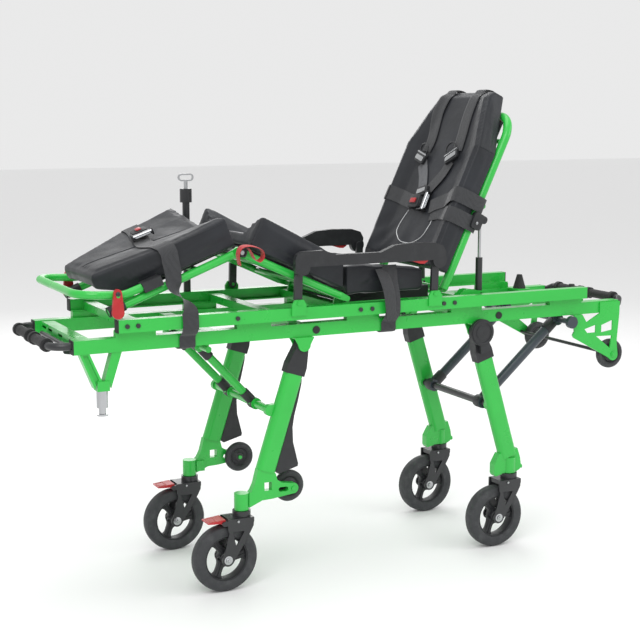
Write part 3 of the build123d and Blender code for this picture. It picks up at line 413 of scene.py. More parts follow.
HALF = 0.222
LIP = 0.005
VOXEL = 0.0055
SWELL = 0.006
PRESSURE = 4
CLOTH_FRAMES = 20
CALF_TAPER = (0.198, 0.415, 0.138)
BACK_TAPER = (0.448, 0.652, 0.136)


def half_ring(half, rim, floor, floor_half, bottom):
    """One side of a pad's cross-section, from under its middle round to its top middle."""
    slope_y = (half - 0.012 + floor_half) / 2
    return [(0, bottom), (half * 0.55, bottom), (half - 0.026, bottom), (half - 0.019, bottom - LIP),
            (half - 0.004, bottom - LIP), (half, bottom + 0.002), (half, (bottom + rim) / 2),
            (half, rim - 0.006), (half - 0.005, rim),
            (slope_y, (rim + floor) / 2), (floor_half + 0.004, floor), (floor_half * 0.5, floor), (0, floor)]


def pad_shape(place, stations):
    """Verts and faces of a closed pad lofted through its stations."""
    verts = []
    for s, lean, *section in stations:
        right = half_ring(*section)
        ring = [(-y, n) for y, n in right] + [(y, n) for y, n in reversed(right[1:-1])]
        verts += [place(s + lean * n, y, n) for y, n in ring]
    count = len(ring)
    faces = grid_faces(len(stations), count)
    for start in (0, (len(stations) - 1) * count):
        middle = len(verts)
        verts.append(sum((verts[start + k] for k in range(count)), Vector()) / count)
        faces += [(start + k, start + (k + 1) % count, middle) for k in range(count)]
    return verts, faces


def evaluated(obj):
    """The object's mesh with its modifiers applied, in place of its own."""
    graph = bpy.context.evaluated_depsgraph_get()
    mesh = bpy.data.meshes.new_from_object(obj.evaluated_get(graph))
    obj.modifiers.clear()
    obj.data = mesh
    return obj


def inflate(pad, place, bottom):
    """Swells a pad as a pressurised cloth, limits how far it moves and keeps its base flat."""
    rest = [(vertex.co.copy(), vertex.normal.copy()) for vertex in pad.data.vertices]
    cloth = pad.modifiers.new("swell", "CLOTH")
    cloth.settings.use_pressure = True
    cloth.settings.uniform_pressure_force = PRESSURE
    cloth.settings.mass = 0.3
    cloth.settings.effector_weights.gravity = 0
    cloth.point_cache.frame_start, cloth.point_cache.frame_end = 1, CLOTH_FRAMES
    for step in range(1, CLOTH_FRAMES + 1):
        bpy.context.scene.frame_set(step)
    evaluated(pad)
    bpy.context.scene.frame_set(1)
    for vertex, (before, outward) in zip(pad.data.vertices, rest):
        move = vertex.co - before
        limit = SWELL if move.dot(outward) > 0 else 0.2 * SWELL
        if move.length > limit:
            vertex.co = before + move * (limit / move.length)
        floor = bottom - (LIP if abs(vertex.co.y) > HALF - 0.027 else 0)
        sink = floor - (vertex.co - place.origin).dot(place.up)
        if sink > 0:
            vertex.co += place.up * sink


def wrinkle(pad, place, marks):
    """Presses soft folds into the cover; a mark is (s, y, reach, depth, angle, folds)."""
    for vertex in pad.data.vertices:
        offset = vertex.co - place.origin
        s, y, n = offset.dot(place.along), offset.y, offset.dot(place.up)
        for mark_s, mark_y, reach, depth, angle, folds in marks:
            away = math.hypot(s - mark_s, y - mark_y)
            if away < reach and n > 0.045:
                fade = (1 - away / reach) ** 2
                run = (s - mark_s) * math.sin(angle) + (y - mark_y) * math.cos(angle)
                wobble = 0.4 * math.sin(23 * s + 31 * y)
                vertex.co += place.up * depth * fade * math.sin(run * math.tau * folds / reach + wobble)


def make_pad(name, place, stations, body, replaced, marks=(), bottom=0.024):
    """A foam pad in its coated cover, swelled, creased and smoothed."""
    verts, faces = pad_shape(place, stations)
    pad = piece(name, verts, faces, VINYL, body)
    remesh = pad.modifiers.new("even", "REMESH")
    remesh.mode = "VOXEL"
    remesh.voxel_size = VOXEL
    evaluated(pad)
    inflate(pad, place, bottom)
    wrinkle(pad, place, marks)
    soften = pad.modifiers.new("soften", "SMOOTH")
    soften.iterations = 1
    soften.factor = 0.5
    divide = pad.modifiers.new("divide", "SUBSURF")
    divide.levels = divide.render_levels = 1
    evaluated(pad)
    pad.data.shade_smooth()
    if not pad.data.materials:
        pad.data.materials.append(VINYL)
    pad.data.update()
    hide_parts(replaced)
    return pad


def skin(pad):
    """A function that drops a point onto the pad's cover along a direction."""
    shape = bmesh.new()
    shape.from_mesh(pad.data)
    tree = BVHTree.FromBMesh(shape)
    shape.free()

    def drop(point, direction, lift):
        hit, *_ = tree.ray_cast(point - direction * 0.25, direction, 0.5)
        return hit - direction * lift if hit else point
    return drop


def make_cushions():
    """The four pads of the couch, each a shallow trough with raised sides."""
    def narrowed(s, start, end, half):
        return HALF - (HALF - half) * max(0, s - start) / (end - start)

    calf = [(s, 0, narrowed(s, *CALF_TAPER), rim, floor, 0.0, base) for s, rim, floor, base in (
        (0.004, 0.112, 0.064, 0.027), (0.018, 0.110, 0.066, 0.027), (0.110, 0.105, 0.074, 0.027),
        (0.198, 0.103, 0.082, 0.027), (0.300, 0.101, 0.091, 0.027), (0.345, 0.100, 0.095, 0.029),
        (0.402, 0.098, 0.097, 0.058), (0.409, 0.088, 0.088, 0.064))]
    thigh = [(0.0105, 0.447, HALF, 0.100, 0.086, 0.140, 0.027),
             (0.060, 0.2, HALF, 0.104, 0.080, 0.135, 0.027),
             (0.140, 0, HALF, 0.112, 0.068, 0.130, 0.027), (0.240, 0, HALF, 0.118, 0.062, 0.128, 0.027),
             (0.345, 0, HALF, 0.124, 0.060, 0.125, 0.027), (0.355, 0, HALF, 0.122, 0.060, 0.125, 0.027)]
    seat = [(-0.080, 0, HALF, 0.946, 0.930, 0.140, 0.862), (-0.020, 0, HALF, 0.944, 0.924, 0.140, 0.862),
            (0.080, 0, HALF, 0.936, 0.912, 0.150, 0.862), (0.170, 0, HALF, 0.926, 0.902, 0.150, 0.862),
            (0.183, 0, HALF, 0.922, 0.900, 0.150, 0.864)]
    back = [(s, 0, narrowed(s, *BACK_TAPER), rim, floor, floor_half, 0.026)
            for s, rim, floor, floor_half in (
                (0.046, 0.086, 0.070, 0.150), (0.060, 0.090, 0.070, 0.150), (0.250, 0.093, 0.066, 0.140),
                (0.448, 0.095, 0.068, 0.130), (0.560, 0.090, 0.072, 0.100), (0.625, 0.084, 0.074, 0.085),
                (0.645, 0.066, 0.064, 0.080))]
    pads = {
        "calf": make_pad("calf_pad", CALF, calf, "calf", "calf_cushion"),
        "thigh": make_pad("thigh_pad", THIGH, thigh, "thigh", "thigh_cushion",
                          [(0.07, -0.19, 0.10, 0.003, 0.9, 2.5), (0.07, 0.19, 0.10, 0.003, 2.2, 2.5)]),
        "seat": make_pad("seat_pad", SEAT, seat, "frame", "seat_cushion",
                         [(-0.02, -0.16, 0.13, 0.004, 0.7, 2), (-0.03, 0.15, 0.12, 0.0035, 2.4, 2),
                          (0.10, 0.02, 0.14, 0.003, 1.3, 1.6)], bottom=0.861),
        "backrest": make_pad("back_pad", BACKREST, back, "backrest", "backrest_cushion",
                             [(0.13, 0.15, 0.13, 0.003, 0.8, 2.2), (0.09, 0.02, 0.15, 0.0035, 0.2, 1.6),
                              (0.20, -0.12, 0.12, 0.003, 2.2, 1.8), (0.40, 0.10, 0.10, 0.002, 1.1, 1.5)]),
    }
    return pads


def make_seams(drops):
    """Ridges on the covers: the calf's crease and edges, the back's side seams and its white piping."""
    def laid(place, drop, route, radius, name, body, finish=VINYL, inward=None):
        down = inward or -place.up
        line = [drop(place(*point), down, radius * 0.3) for point in smooth_line(route, 14)]
        tube(name, line, radius, finish, body, sides=6)

    laid(CALF, drops["calf"], [(0.02, 0, 0.1), (0.2, 0, 0.1), (0.385, 0, 0.1)], 0.0013, "calf_seam", "calf")
    for name, side in (("left", 1), ("right", -1)):
        down = Vector((0, -side, 0))
        for label, place, body, key, route in (
                ("calf_edge_", CALF, "calf", "calf", [(0.02, 0.098), (0.2, 0.098)]),
                ("back_side_", BACKREST, "backrest", "backrest", [(0.447, 0.030), (0.447, 0.088)])):
            laid(place, drops[key], [(s, side * 0.23, n) for s, n in route], 0.0011, label + name, body,
                 inward=down)
    piping = [(0.219, 0.066, 0.1), (0.170, 0.086, 0.1), (0.137, 0.082, 0.1), (0.112, 0.040, 0.1),
              (0.108, -0.006, 0.1), (0.116, -0.050, 0.1), (0.140, -0.082, 0.1), (0.175, -0.094, 0.1),
              (0.212, -0.090, 0.1)]
    laid(BACKREST, drops["backrest"], piping, 0.0016, "back_piping", "backrest", WHITE_THREAD)


def lay_belt(name, place, drop, route, width, body, finish=BLACK_WEB, lift=0.0022, fold=0):
    """Webbing laid on a pad; the route is (s, y) pairs on the section, and fold doubles it."""
    down = -place.up
    centre = smooth_line([place(s, y, 0.1) for s, y in route], 10)
    verts = []
    count = len(centre)
    for index, point in enumerate(centre):
        forward = (centre[min(index + 1, count - 1)] - centre[max(index - 1, 0)]).normalized()
        wide = forward.cross(place.up).normalized()
        dropped = [drop(point + wide * spot, down, 0) for spot in web_spots(width)]
        level = sorted((spot - place.origin).dot(place.up) for spot in dropped)[WEB_COLUMNS // 2]
        for rise in (lift + 0.0016, lift):
            row = []
            for k, spot in enumerate(dropped):
                sag = level - (spot - place.origin).dot(place.up)
                ridge = fold * math.sin(math.pi * 3 * k / (WEB_COLUMNS - 1)) ** 2
                row.append(spot + place.up * (rise + 0.6 * max(sag, 0) + ridge))
            verts += row if rise > lift else row[::-1]
    return piece(name, verts, web_faces(count), finish, body, crease=60)


def rounded(width, height, radius, steps=4):
    """Outline of a rounded rectangle about the origin."""
    outline = []
    for quarter, (x, y) in enumerate(((1, 1), (-1, 1), (-1, -1), (1, -1))):
        for step in range(steps + 1):
            angle = math.tau / 4 * (quarter + step / steps)
            outline.append((x * (width / 2 - radius) + radius * math.cos(angle),
                            y * (height / 2 - radius) + radius * math.sin(angle)))
    return outline


def level_at(place, drop, s, y):
    """How high above the section the pad's cover is there."""
    return (drop(place(s, y, 0.1), -place.up, 0) - place.origin).dot(place.up)


def set_on(place, s, y, height, turn):
    """Maps (a, b, height) so that a runs along the section, turned about its normal."""
    ca, sa = math.cos(turn), math.sin(turn)
    return lambda a, b, h: place(s + a * ca - b * sa, y + a * sa + b * ca, height + h)


def make_buckle(name, place, drop, s, y, turn, body):
    """A push-button buckle: a black case with a red button and a plated tongue."""
    height = level_at(place, drop, s, y) + 0.004
    at = set_on(place, s, y, height, turn)
    slab(name + "_case", rounded(0.058, 0.046, 0.008), 0, 0.017, at, PLASTIC, body, 0.0025)
    slab(name + "_rim", rounded(0.040, 0.024, 0.005), 0.0165, 0.0185, at, PLASTIC, body,
         0.0006)
    slab(name + "_button", rounded(0.032, 0.016, 0.004), 0.018, 0.0215, at, RED, body, 0.001)
    tongue = set_on(place, s + 0.047 * math.cos(turn), y + 0.047 * math.sin(turn), height, turn)
    slab(name + "_tongue", rounded(0.046, 0.050, 0.006), 0.006, 0.009, tongue, CHROME, body, 0.0008)
    bar = [tongue(0.012, b, 0.012) for b in (-0.030, -0.015, 0, 0.015, 0.030)]
    tube(name + "_bar", smooth_line(bar, 3), 0.0065, CHROME, body, 12)
    for label, b in (("_cheek_a", -0.031), ("_cheek_b", 0.031)):
        cheek = lambda a, h, w, b=b: tongue(a + 0.004, b + w, h + 0.010)
        slab(name + label, rounded(0.036, 0.020, 0.006), -0.002, 0.002, cheek, PLASTIC, body,
             0.0008)


def make_adjuster(name, place, drop, s, y, turn, body):
    """A slide adjuster: a black frame with a plated face and a bar, and a ring beside it."""
    height = level_at(place, drop, s, y) + 0.005
    at = set_on(place, s, y, height, turn)
    slab(name + "_frame", rounded(0.030, 0.060, 0.005), 0, 0.010, at, PLASTIC, body, 0.0015)
    slab(name + "_face", rounded(0.016, 0.052, 0.004), 0.0095, 0.0125, at, CHROME, body, 0.0006)
    bar = [at(0.017, b, 0.008) for b in (-0.031, -0.015, 0, 0.015, 0.031)]
    tube(name + "_bar", smooth_line(bar, 3), 0.004, CHROME, body, 10)
    ring = [at(0.030 + 0.020 * math.cos(a), 0.024 * math.sin(a), 0.010 + 0.004 * math.cos(a))
            for a in (math.tau * k / 28 for k in range(28))]
    tube(name + "_ring", ring, 0.0028, PLASTIC, body, 8, closed=True)


def make_harness(drop):
    """Shoulder and waist belts on the backrest, meeting at one buckle."""
    top = 0.632
    for name, route in (("left", [(top, 0.098), (0.560, 0.110), (0.470, 0.096), (0.425, 0.100)]),
                        ("right", [(top, -0.070), (0.560, -0.066), (0.480, -0.078), (0.430, -0.084)])):
        lay_belt("shoulder_belt_" + name, BACKREST, drop, route, 0.052, "backrest", fold=0.0022)
        y = route[0][1]
        lip = level_at(BACKREST, drop, top, y)
        over = [(top - 0.003, lip + 0.004), (0.647, lip - 0.001), (0.654, lip - 0.018), (0.655, 0.040),
                (0.650, 0.024), (0.620, 0.018), (0.560, 0.0165)]
        line = smooth_line([BACKREST(s, y, n) for s, n in over], 7)
        webbing("shoulder_belt_back_" + name, line, (0, 1, 0), 0.052, BLACK_WEB, "backrest", 0.003)
    make_adjuster("adjuster_left", BACKREST, drop, 0.398, 0.106, -0.25, "backrest")
    make_adjuster("adjuster_right", BACKREST, drop, 0.408, -0.078, 0.55, "backrest")
    lay_belt("chest_belt_left", BACKREST, drop, [(0.385, 0.096), (0.350, 0.066), (0.300, 0.034)], 0.044,
             "backrest", GREY_WEB)
    lay_belt("chest_belt_right", BACKREST, drop, [(0.395, -0.074), (0.350, -0.056), (0.296, -0.014)], 0.044,
             "backrest", lift=0.0045)
    lay_belt("waist_belt_left", BACKREST, drop, [(0.268, 0.214), (0.262, 0.150), (0.247, 0.060)], 0.048,
             "backrest")
    lay_belt("waist_belt_right", BACKREST, drop, [(0.236, -0.060), (0.262, -0.130), (0.284, -0.212)], 0.048,
             "backrest", lift=0.0055)
    lay_belt("waist_belt_tail", BACKREST, drop, [(0.214, -0.076), (0.222, -0.140), (0.216, -0.212)], 0.046,
             "backrest")
    make_buckle("harness_buckle", BACKREST, drop, 0.247, 0.026, -1.5, "backrest")
    height = level_at(BACKREST, drop, 0.282, 0.0) + 0.006
    hub = set_on(BACKREST, 0.284, 0.010, height, 0.3)
    slab("harness_hub", rounded(0.034, 0.060, 0.012), 0, 0.012, hub, PLASTIC, "backrest",
         0.002)
    slab("harness_hub_plate", rounded(0.016, 0.044, 0.005), 0.0115, 0.0145, hub, CHROME, "backrest",
         0.0008)
    for name, side, s in (("left", 1, 0.266), ("right", -1, 0.283), ("tail", -1, 0.218)):
        front = level_at(BACKREST, drop, s, side * 0.205)
        spots = [(0.200, front + 0.006), (0.216, front + 0.001), (0.229, front - 0.014), (0.231, 0.050),
                 (0.231, 0.022), (0.226, -0.004), (0.214, -0.014)]
        line = smooth_line([BACKREST(s, side * y, n) for y, n in spots], 6)
        webbing("waist_belt_side_" + name, line, tuple(back_along), 0.048, BLACK_WEB, "backrest")


def make_leg_belt(drop):
    """The leg belt: over the calf pad, through its buckle and down to the near rails."""
    belt = [(0.160, 0.205), (0.162, 0.150), (0.178, 0.070), (0.192, 0.000), (0.206, -0.080), (0.200, -0.212)]
    lay_belt("leg_belt", CALF, drop, belt, 0.050, "calf")
    make_buckle("leg_buckle", CALF, drop, 0.168, 0.085, -1.42, "calf")
    edge = level_at(CALF, drop, 0.199, -0.205)
    over = [(0.199, -0.206, edge + 0.004), (0.199, -0.222, edge - 0.002), (0.199, -0.231, edge - 0.020),
            (0.204, -0.233, 0.060), (0.210, -0.234, 0.024)]
    line = smooth_line([CALF(*spot) for spot in over], 6)
    webbing("leg_belt_side", line, tuple(calf_along), 0.050, BLACK_WEB, "calf")
    far = [(0.160, 0.204, level_at(CALF, drop, 0.160, 0.204) + 0.004), (0.160, 0.224, 0.096),
           (0.160, 0.231, 0.080), (0.160, 0.232, 0.050), (0.160, 0.226, 0.018)]
    line = smooth_line([CALF(*spot) for spot in far], 6)
    webbing("leg_belt_far_side", line, tuple(calf_along), 0.050, BLACK_WEB, "calf")
    hang = [CALF(0.210, -0.234, 0.028), (-0.628, -0.238, 0.905), (-0.606, -0.252, 0.876),
            (-0.594, -0.2585, 0.852), (-0.590, -0.2575, 0.820), (-0.590, -0.2575, 0.797),
            (-0.590, -0.2440, 0.780), (-0.590, -0.2290, 0.768), (-0.590, -0.2275, 0.742),
            (-0.590, -0.2150, 0.7340), (-0.590, -0.1920, 0.7335)]
    line = smooth_line(hang, 8)
    turns = []
    for point in line:
        twist = math.pi * min(1, max(0, (0.925 - point.z) / 0.085))
        lean = 0.36 * max(0, (point.z - 0.85) / 0.1)
        turns.append((abs(math.cos(twist)) + 0.25 * math.sin(twist), 0.8 * math.sin(twist), -lean))
    hanging = webbing("leg_belt_hanging", line, turns, 0.048, BLACK_WEB, "frame")
    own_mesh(hanging)


# ---------------------------------------------------------------- wheels and fittings

def centre_of(node):
    low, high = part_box(node)
    return (Vector(low) + Vector(high)) / 2


def upright(centre):
    """Maps (a, b, height) so that the outline stands in the XZ plane and height runs along Y."""
    return lambda a, b, h: Vector((centre.x + a, centre.y + h, centre.z + b))


def circle(radius, count, phase=0):
    """Points of a regular outline; phase turns it by a share of one step."""
    angles = [math.tau * (k + phase) / count for k in range(count)]
    return [(radius * math.cos(angle), radius * math.sin(angle)) for angle in angles]


def hex_bolt(name, centre, outward, radius, body, washer=True):
    """A plated bolt head with its washer, facing along Y."""
    at = lambda a, b, h: Vector((centre[0] + a, centre[1] + outward * h, centre[2] + b))
    if washer:
        slab(name + "_washer", circle(1.55 * radius, 24), 0, 0.0016, at, CHROME, body, 0.0003)
    slab(name + "_head", circle(radius, 6, 0.5), 0.001, 0.001 + 0.6 * radius, at, CHROME, body,
         0.0007)
    stub = [(0, 0), (0.55 * radius, 0), (0.55 * radius, 0.62 * radius), (0.45 * radius, 0.8 * radius),
            (0, 0.84 * radius)]
    turned(name + "_stub", stub, at(0, 0, 0.001), CHROME, body, axis=(0, outward, 0), steps=20)


def wheel_spoke(inner, outer, waist, foot, turn):
    """Outline of one spoke: narrow in the middle, flared and curved at both ends."""
    side = []
    for step in range(9):
        t = step / 8
        radius = inner + (outer - inner) * t
        half = waist + (foot - waist) * (2 * t - 1) ** 4
        side.append((radius, half))
    outline = side + [(radius, -half) for radius, half in reversed(side)]
    bent = []
    for radius, half in outline:
        sweep = turn + 0.22 * math.sin(math.pi * (radius - inner) / (outer - inner) / 2)
        bent.append((radius * math.cos(sweep) - half * math.sin(sweep),
                     radius * math.sin(sweep) + half * math.cos(sweep)))
    return bent


def make_caster_wheel(node):
    """A 200 mm wheel: grey tread on a black three-spoke rim, with a plated axle."""
    centre = centre_of(node)
    tread = [(0.0655, -0.0165), (0.067, -0.0195), (0.078, -0.0215), (0.089, -0.0215), (0.0955, -0.019),
             (0.099, -0.013), (0.1, -0.006), (0.1, 0.006), (0.099, 0.013), (0.0955, 0.019),
             (0.089, 0.0215), (0.078, 0.0215), (0.067, 0.0195), (0.0655, 0.0165)]
    tyre = turned(node + "_tyre", tread, centre, TYRE, node, steps=96, ring=True)
    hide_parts(node)
    rim = [(0.0665, -0.016), (0.0655, -0.0182), (0.063, -0.0182), (0.0618, -0.016), (0.0610, -0.010),
           (0.0595, 0.0), (0.0610, 0.010), (0.0618, 0.016), (0.063, 0.0182), (0.0655, 0.0182),
           (0.0665, 0.016)]
    turned(node + "_rim", rim, centre, PLASTIC, node, steps=96, ring=True)
    hub = [(0, -0.0205), (0.009, -0.0205), (0.0095, -0.018), (0.016, -0.018), (0.0185, -0.0155),
           (0.0195, 0.0), (0.0185, 0.0155), (0.016, 0.018), (0.0095, 0.018), (0.009, 0.0205), (0, 0.0205)]
    turned(node + "_hub", hub, centre, PLASTIC, node, steps=40)
    turned(node + "_sleeve", [(0, -0.0225), (0.007, -0.0225), (0.007, 0.0225), (0, 0.0225)], centre, STEEL,
           node, steps=24)
    for number in range(3):
        turn = math.tau * number / 3 - 0.15
        slab(node + "_spoke_%d" % number, wheel_spoke(0.015, 0.0625, 0.0095, 0.023, turn), -0.0095, 0.0095,
             upright(centre), PLASTIC, node, 0.003)
        slab(node + "_rib_%d" % number, wheel_spoke(0.018, 0.061, 0.0022, 0.003, turn), -0.0125, 0.0125,
             upright(centre), PLASTIC, node, 0.0012)


def make_small_wheel(node, radius):
    """A small roller: grey tread on a dished hub with a bearing."""
    centre = centre_of(node)
    low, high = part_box(node)
    half = (high[1] - low[1]) / 2
    tread = [(radius - 0.014, -0.8 * half), (radius - 0.008, -0.97 * half), (radius - 0.002, -0.7 * half),
             (radius, -0.3 * half), (radius, 0.3 * half), (radius - 0.002, 0.7 * half),
             (radius - 0.008, 0.97 * half), (radius - 0.014, 0.8 * half)]
    tyre = turned(node + "_tyre", tread, centre, TYRE, node, steps=72, ring=True)
    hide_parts(node)
    side = [(0.014, 0.98), (0.016, 0.8), (radius - 0.022, 0.45), (radius - 0.017, 0.85),
            (radius - 0.0132, 0.85)]
    hub = [(0.0135, 0.98 * half)] + [(r, share * half) for r, share in side]
    hub += [(r, -share * half) for r, share in reversed(side)] + [(0.0135, -0.98 * half)]
    turned(node + "_hub", hub, centre, PLASTIC, node, steps=56, ring=True)
    bearing = [(0.0065, -0.9 * half), (0.0133, -0.9 * half), (0.0133, 0.9 * half), (0.0065, 0.9 * half)]
    turned(node + "_bearing", bearing, centre, BLACK, node, steps=32, ring=True, bevel=0.0006)


def make_wheels():
    """All the wheels, with the bolts through their forks."""
    for side, sign in (("left", 1), ("right", -1)):
        for end in ("foot", "head"):
            node = "%s_caster_wheel_%s" % (end, side)
            make_caster_wheel(node)
            centre = centre_of(node)
            for label, outward in (("outer", sign), ("inner", -sign)):
                spot = (centre.x, centre.y + outward * 0.032, centre.z)
                hex_bolt("%s_axle_bolt_%s_%s" % (end, side, label), spot, outward, 0.0085,
                         "%s_caster_fork_%s" % (end, side))
                crown = (centre.x + 0.032, centre.y + outward * 0.032, 0.2135)
                hex_bolt("%s_crown_bolt_%s_%s" % (end, side, label), crown, outward, 0.0042,
                         "%s_caster_fork_%s" % (end, side), washer=False)
        make_small_wheel("transit_wheel_" + side, 0.048)
        make_small_wheel("loading_wheel_" + side, 0.049)


def make_back_fittings():
    """The belt clips on the backrest tube and the red release tab behind its top."""
    for name, side in (("left", 1), ("right", -1)):
        at = lambda a, b, h, side=side: BACKREST(0.232 + a, side * (0.222 + h), 0.002 + b)
        slab("belt_clip_" + name, rounded(0.052, 0.038, 0.009), -0.002, 0.018, at, PLASTIC,
             "backrest", 0.003)
        ear = lambda a, b, h, side=side: BACKREST(0.246 + a, side * (0.222 + h), -0.018 + b)
        slab("belt_clip_ear_" + name, rounded(0.024, 0.030, 0.010), 0.002, 0.012, ear, PLASTIC,
             "backrest", 0.002)
        spot = BACKREST(0.225, side * 0.240, 0.006)
        hex_bolt("belt_clip_bolt_" + name, spot, side, 0.005, "backrest", washer=False)
    tab = lambda a, b, h: BACKREST(0.560 + a, -0.148 + b, 0.012 - h)
    slab("release_tab", rounded(0.034, 0.020, 0.005), 0, 0.007, tab, RED, "backrest", 0.002)


def collar(name, centre, axis, span, inner, outer, body):
    """A black plastic sleeve round a tube or an eye, between two distances along its axis."""
    profile = [(inner, span[0]), (outer, span[0]), (outer, span[1]), (inner, span[1])]
    turned(name, profile, centre, PLASTIC, body, axis=axis, steps=40, ring=True,
           bevel=0.0006)


FOOT_SHAFT = Vector((-0.5085, 0, 0.718))
HEAD_SHAFT = Vector((0.7375, 0, 0.719))
CROSS_ROD = Vector((0.8665, 0, 0.612))
COVER_FACE = 0.2495


def make_stay_sleeves():
    """Black sleeves and elbow rings on the folding stays, and a cover on the loading brackets' cross rod."""
    stays = {
        "foot_braces": (FOOT_SHAFT, 0.095, 0.0145, 0.0170),
        "head_braces": (HEAD_SHAFT, 0.150, 0.0185, 0.0200),
    }
    for body, (high, half, sleeve, elbow) in stays.items():
        low = pivot(body + "_hinge")
        forward = (high - low).normalized()
        for hand, side in (("left", 1), ("right", -1)):
            across = Vector((0, side * half, 0))
            for end, spot, axis in (("low", low, forward), ("high", high, -forward)):
                tag = body + "_" + end + "_" + hand
                collar("sleeve_" + tag, spot + across, axis, (0.016, 0.0525), sleeve - 0.002,
                       sleeve + 0.0005, body)
                collar("elbow_" + tag, spot + across, (0, 1, 0), (-0.0155, 0.0155), elbow - 0.004,
                       elbow + 0.0005, body)
    collar("cross_rod_cover", CROSS_ROD, (0, 1, 0), (-0.2227, 0.2227), 0.0046, 0.0056, "frame")


def make_cover_rims():
    """The raised rim and plain centre disc on each round cover of the head legs."""
    for hand, side in (("left", 1), ("right", -1)):
        spot = pivot("head_legs_fold") + Vector((0, side * COVER_FACE, 0))
        collar("cover_rim_" + hand, spot, (0, side, 0), (0, 0.0022), 0.0320, 0.0375, "head_legs")
        collar("cover_disc_" + hand, spot, (0, side, 0), (0, 0.0016), 0.0004, 0.0230, "head_legs")


def make_pedal_plates():
    """The brake pedals' raised borders, laid on their plates."""
    for side in ("left", "right"):
        node = "brake_pedal_" + side
        low, high = (Vector(corner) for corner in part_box(node))
        middle = (low + high) / 2
        toe, heel = low.x + 0.006, low.x + 0.5 * (high.x - low.x)
        width = (high.y - low.y) - 0.012
        line = [Vector((toe, middle.y - width / 2, 0)), Vector((heel, middle.y - width / 2, 0)),
                Vector((heel, middle.y + width / 2, 0)), Vector((toe, middle.y + width / 2, 0))]
        shape = bmesh.new()
        shape.from_mesh(frame["nodes"][node].data)
        tree = BVHTree.FromBMesh(shape)
        shape.free()
        border = []
        for start, end in zip(line, line[1:] + line[:1]):
            for step in range(6):
                spot = start.lerp(end, step / 6)
                hit, *_ = tree.ray_cast(Vector((spot.x, spot.y, 0.4)), Vector((0, 0, -1)), 0.4)
                if hit:
                    border.append(hit + Vector((0, 0, 0.0004)))
        tube(node + "_border", border, 0.0012, PALE_RED, node, 6, closed=True)


def make_lever_bolts():
    """Small dark bolts through the foot levers."""
    for side, sign in (("left", 1), ("right", -1)):
        low, high = (Vector(corner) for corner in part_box("foot_lever_" + side))
        face = high.y if sign > 0 else low.y
        dome = [(0, 0), (0.0068, 0), (0.0068, 0.0014), (0.0055, 0.0030), (0.003, 0.0038), (0, 0.0040)]
        spot = ((low.x + high.x) / 2, face, high.z - 0.0135)
        turned("lever_bolt_" + side, dome, spot, BLACK, "foot_lever_" + side,
               axis=(0, sign, 0), steps=28)


def make_seat_belt():
    """The waist belt's fixed end: from beside the seat down round the near rails."""
    path = [(-0.2275, 0.940), (-0.233, 0.925), (-0.237, 0.895), (-0.250, 0.860), (-0.2555, 0.835),
            (-0.2555, 0.800), (-0.243, 0.780), (-0.2285, 0.765), (-0.2275, 0.742), (-0.215, 0.7345),
            (-0.192, 0.736)]
    line = smooth_line([(0.060, y, z) for y, z in path], 7)
    webbing("seat_belt", line, (1, 0, 0), 0.050, BLACK_WEB, "frame", 0.0024)
    loop = [(-0.2300, 0.930), (-0.240, 0.915), (-0.2585, 0.880), (-0.2635, 0.850), (-0.262, 0.815),
            (-0.2600, 0.780)]
    tail = smooth_line([(0.030 + 0.16 * (0.94 - z), y, z) for y, z in loop], 7)
    webbing("seat_belt_tail", tail, (0.9, 0.25, 0.1), 0.046, BLACK_WEB, "frame", 0.0024)


def make_knee_fittings():
    """The knee axle's ends and the red pull loop on the near one."""
    sleeve = [(0.0068, 0.0), (0.0145, 0.0), (0.0145, 0.019), (0.013, 0.021), (0.009, 0.021), (0.0068, 0.014)]
    pin = [(0, 0.0), (0.0066, 0.0), (0.0066, 0.015), (0, 0.015)]
    for name, side in (("left", 1), ("right", -1)):
        spot = (KNEE.x, side * 0.228, KNEE.z)
        turned("knee_sleeve_" + name, sleeve, spot, PLASTIC, "thigh",
               axis=(0, side, 0), steps=6, ring=True, bevel=0.0008)
        turned("knee_pin_" + name, pin, spot, CHROME, "thigh", axis=(0, side, 0), steps=24)
    loop = [(-0.014, -0.034), (-0.019, -0.004), (-0.010, 0.016), (0.010, 0.021), (0.034, 0.017),
            (0.054, 0.007), (0.058, -0.012), (0.045, -0.025), (0.030, -0.016), (0.022, 0.000), (0.013, 0.013)]
    line = smooth_line([(KNEE.x + x, -0.2530, KNEE.z + z) for x, z in loop], 7)
    webbing("pull_loop", line, (0, 1, 0.12), 0.027, RED_WEB, "thigh", 0.0022)


# ---------------------------------------------------------------- stage

CAMERA_PLACE = (-1.9045, -3.7065, 1.3893)
CAMERA_DOWN = 8.8
CAMERA_TURN = -26.47


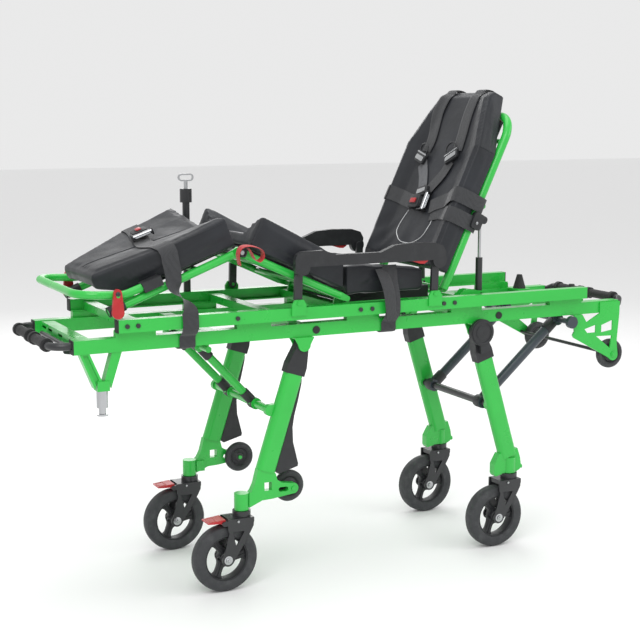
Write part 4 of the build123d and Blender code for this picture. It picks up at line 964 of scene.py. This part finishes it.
def make_stage():
    """A pale floor, soft lights all round and the camera."""
    ground = bpy.data.meshes.new("floor")
    ground.from_pydata([(-30, -30, 0), (30, -30, 0), (30, 30, 0), (-30, 30, 0)], [], [(0, 1, 2, 3)])
    floor = bpy.data.objects.new("floor", ground)
    bpy.context.scene.collection.objects.link(floor)
    pale = Finish("pale_floor", (0.9, 0.9, 0.9), 0.8)
    pale.rough(pale.ranged(pale.noise(3), 0.3, 0.7, 0.75, 0.9))
    ground.materials.append(pale.material)

    world = bpy.data.worlds.new("studio")
    world.use_nodes = True
    world.node_tree.nodes["Background"].inputs["Color"].default_value = (1, 1, 1, 1)
    world.node_tree.nodes["Background"].inputs["Strength"].default_value = 0.82
    bpy.context.scene.world = world

    lamps = {
        "key": ((-2.2, -3.2, 4.2), 3.0, 95),
        "fill": ((3.6, -2.4, 2.6), 2.5, 32),
        "top": ((0.3, 0.6, 4.6), 3.2, 60),
        "rim": ((1.5, 4.2, 2.6), 2.5, 40),
    }
    for name, (place, size, power) in lamps.items():
        light = bpy.data.lights.new(name, "AREA")
        light.size = size
        light.energy = power
        lamp = bpy.data.objects.new(name, light)
        lamp.location = place
        lamp.rotation_euler = (Vector((0, 0, 0.8)) - Vector(place)).to_track_quat("-Z", "Y").to_euler()
        bpy.context.scene.collection.objects.link(lamp)

    lens = bpy.data.cameras.new("camera")
    lens.lens = 74.81
    lens.sensor_width = 36
    camera = bpy.data.objects.new("camera", lens)
    camera.location = CAMERA_PLACE
    camera.rotation_euler = (math.radians(90 - CAMERA_DOWN), 0, math.radians(CAMERA_TURN))
    bpy.context.scene.collection.objects.link(camera)
    bpy.context.scene.camera = camera
    bpy.context.scene.view_settings.view_transform = "Standard"


dress_cad_nodes()
make_stage()
PADS = make_cushions()
DROPS = {name: skin(pad) for name, pad in PADS.items()}
make_seams(DROPS)
make_harness(DROPS["backrest"])
make_leg_belt(DROPS["calf"])
make_wheels()
make_back_fittings()
make_stay_sleeves()
make_cover_rims()
make_pedal_plates()
make_lever_bolts()
make_seat_belt()
make_knee_fittings()
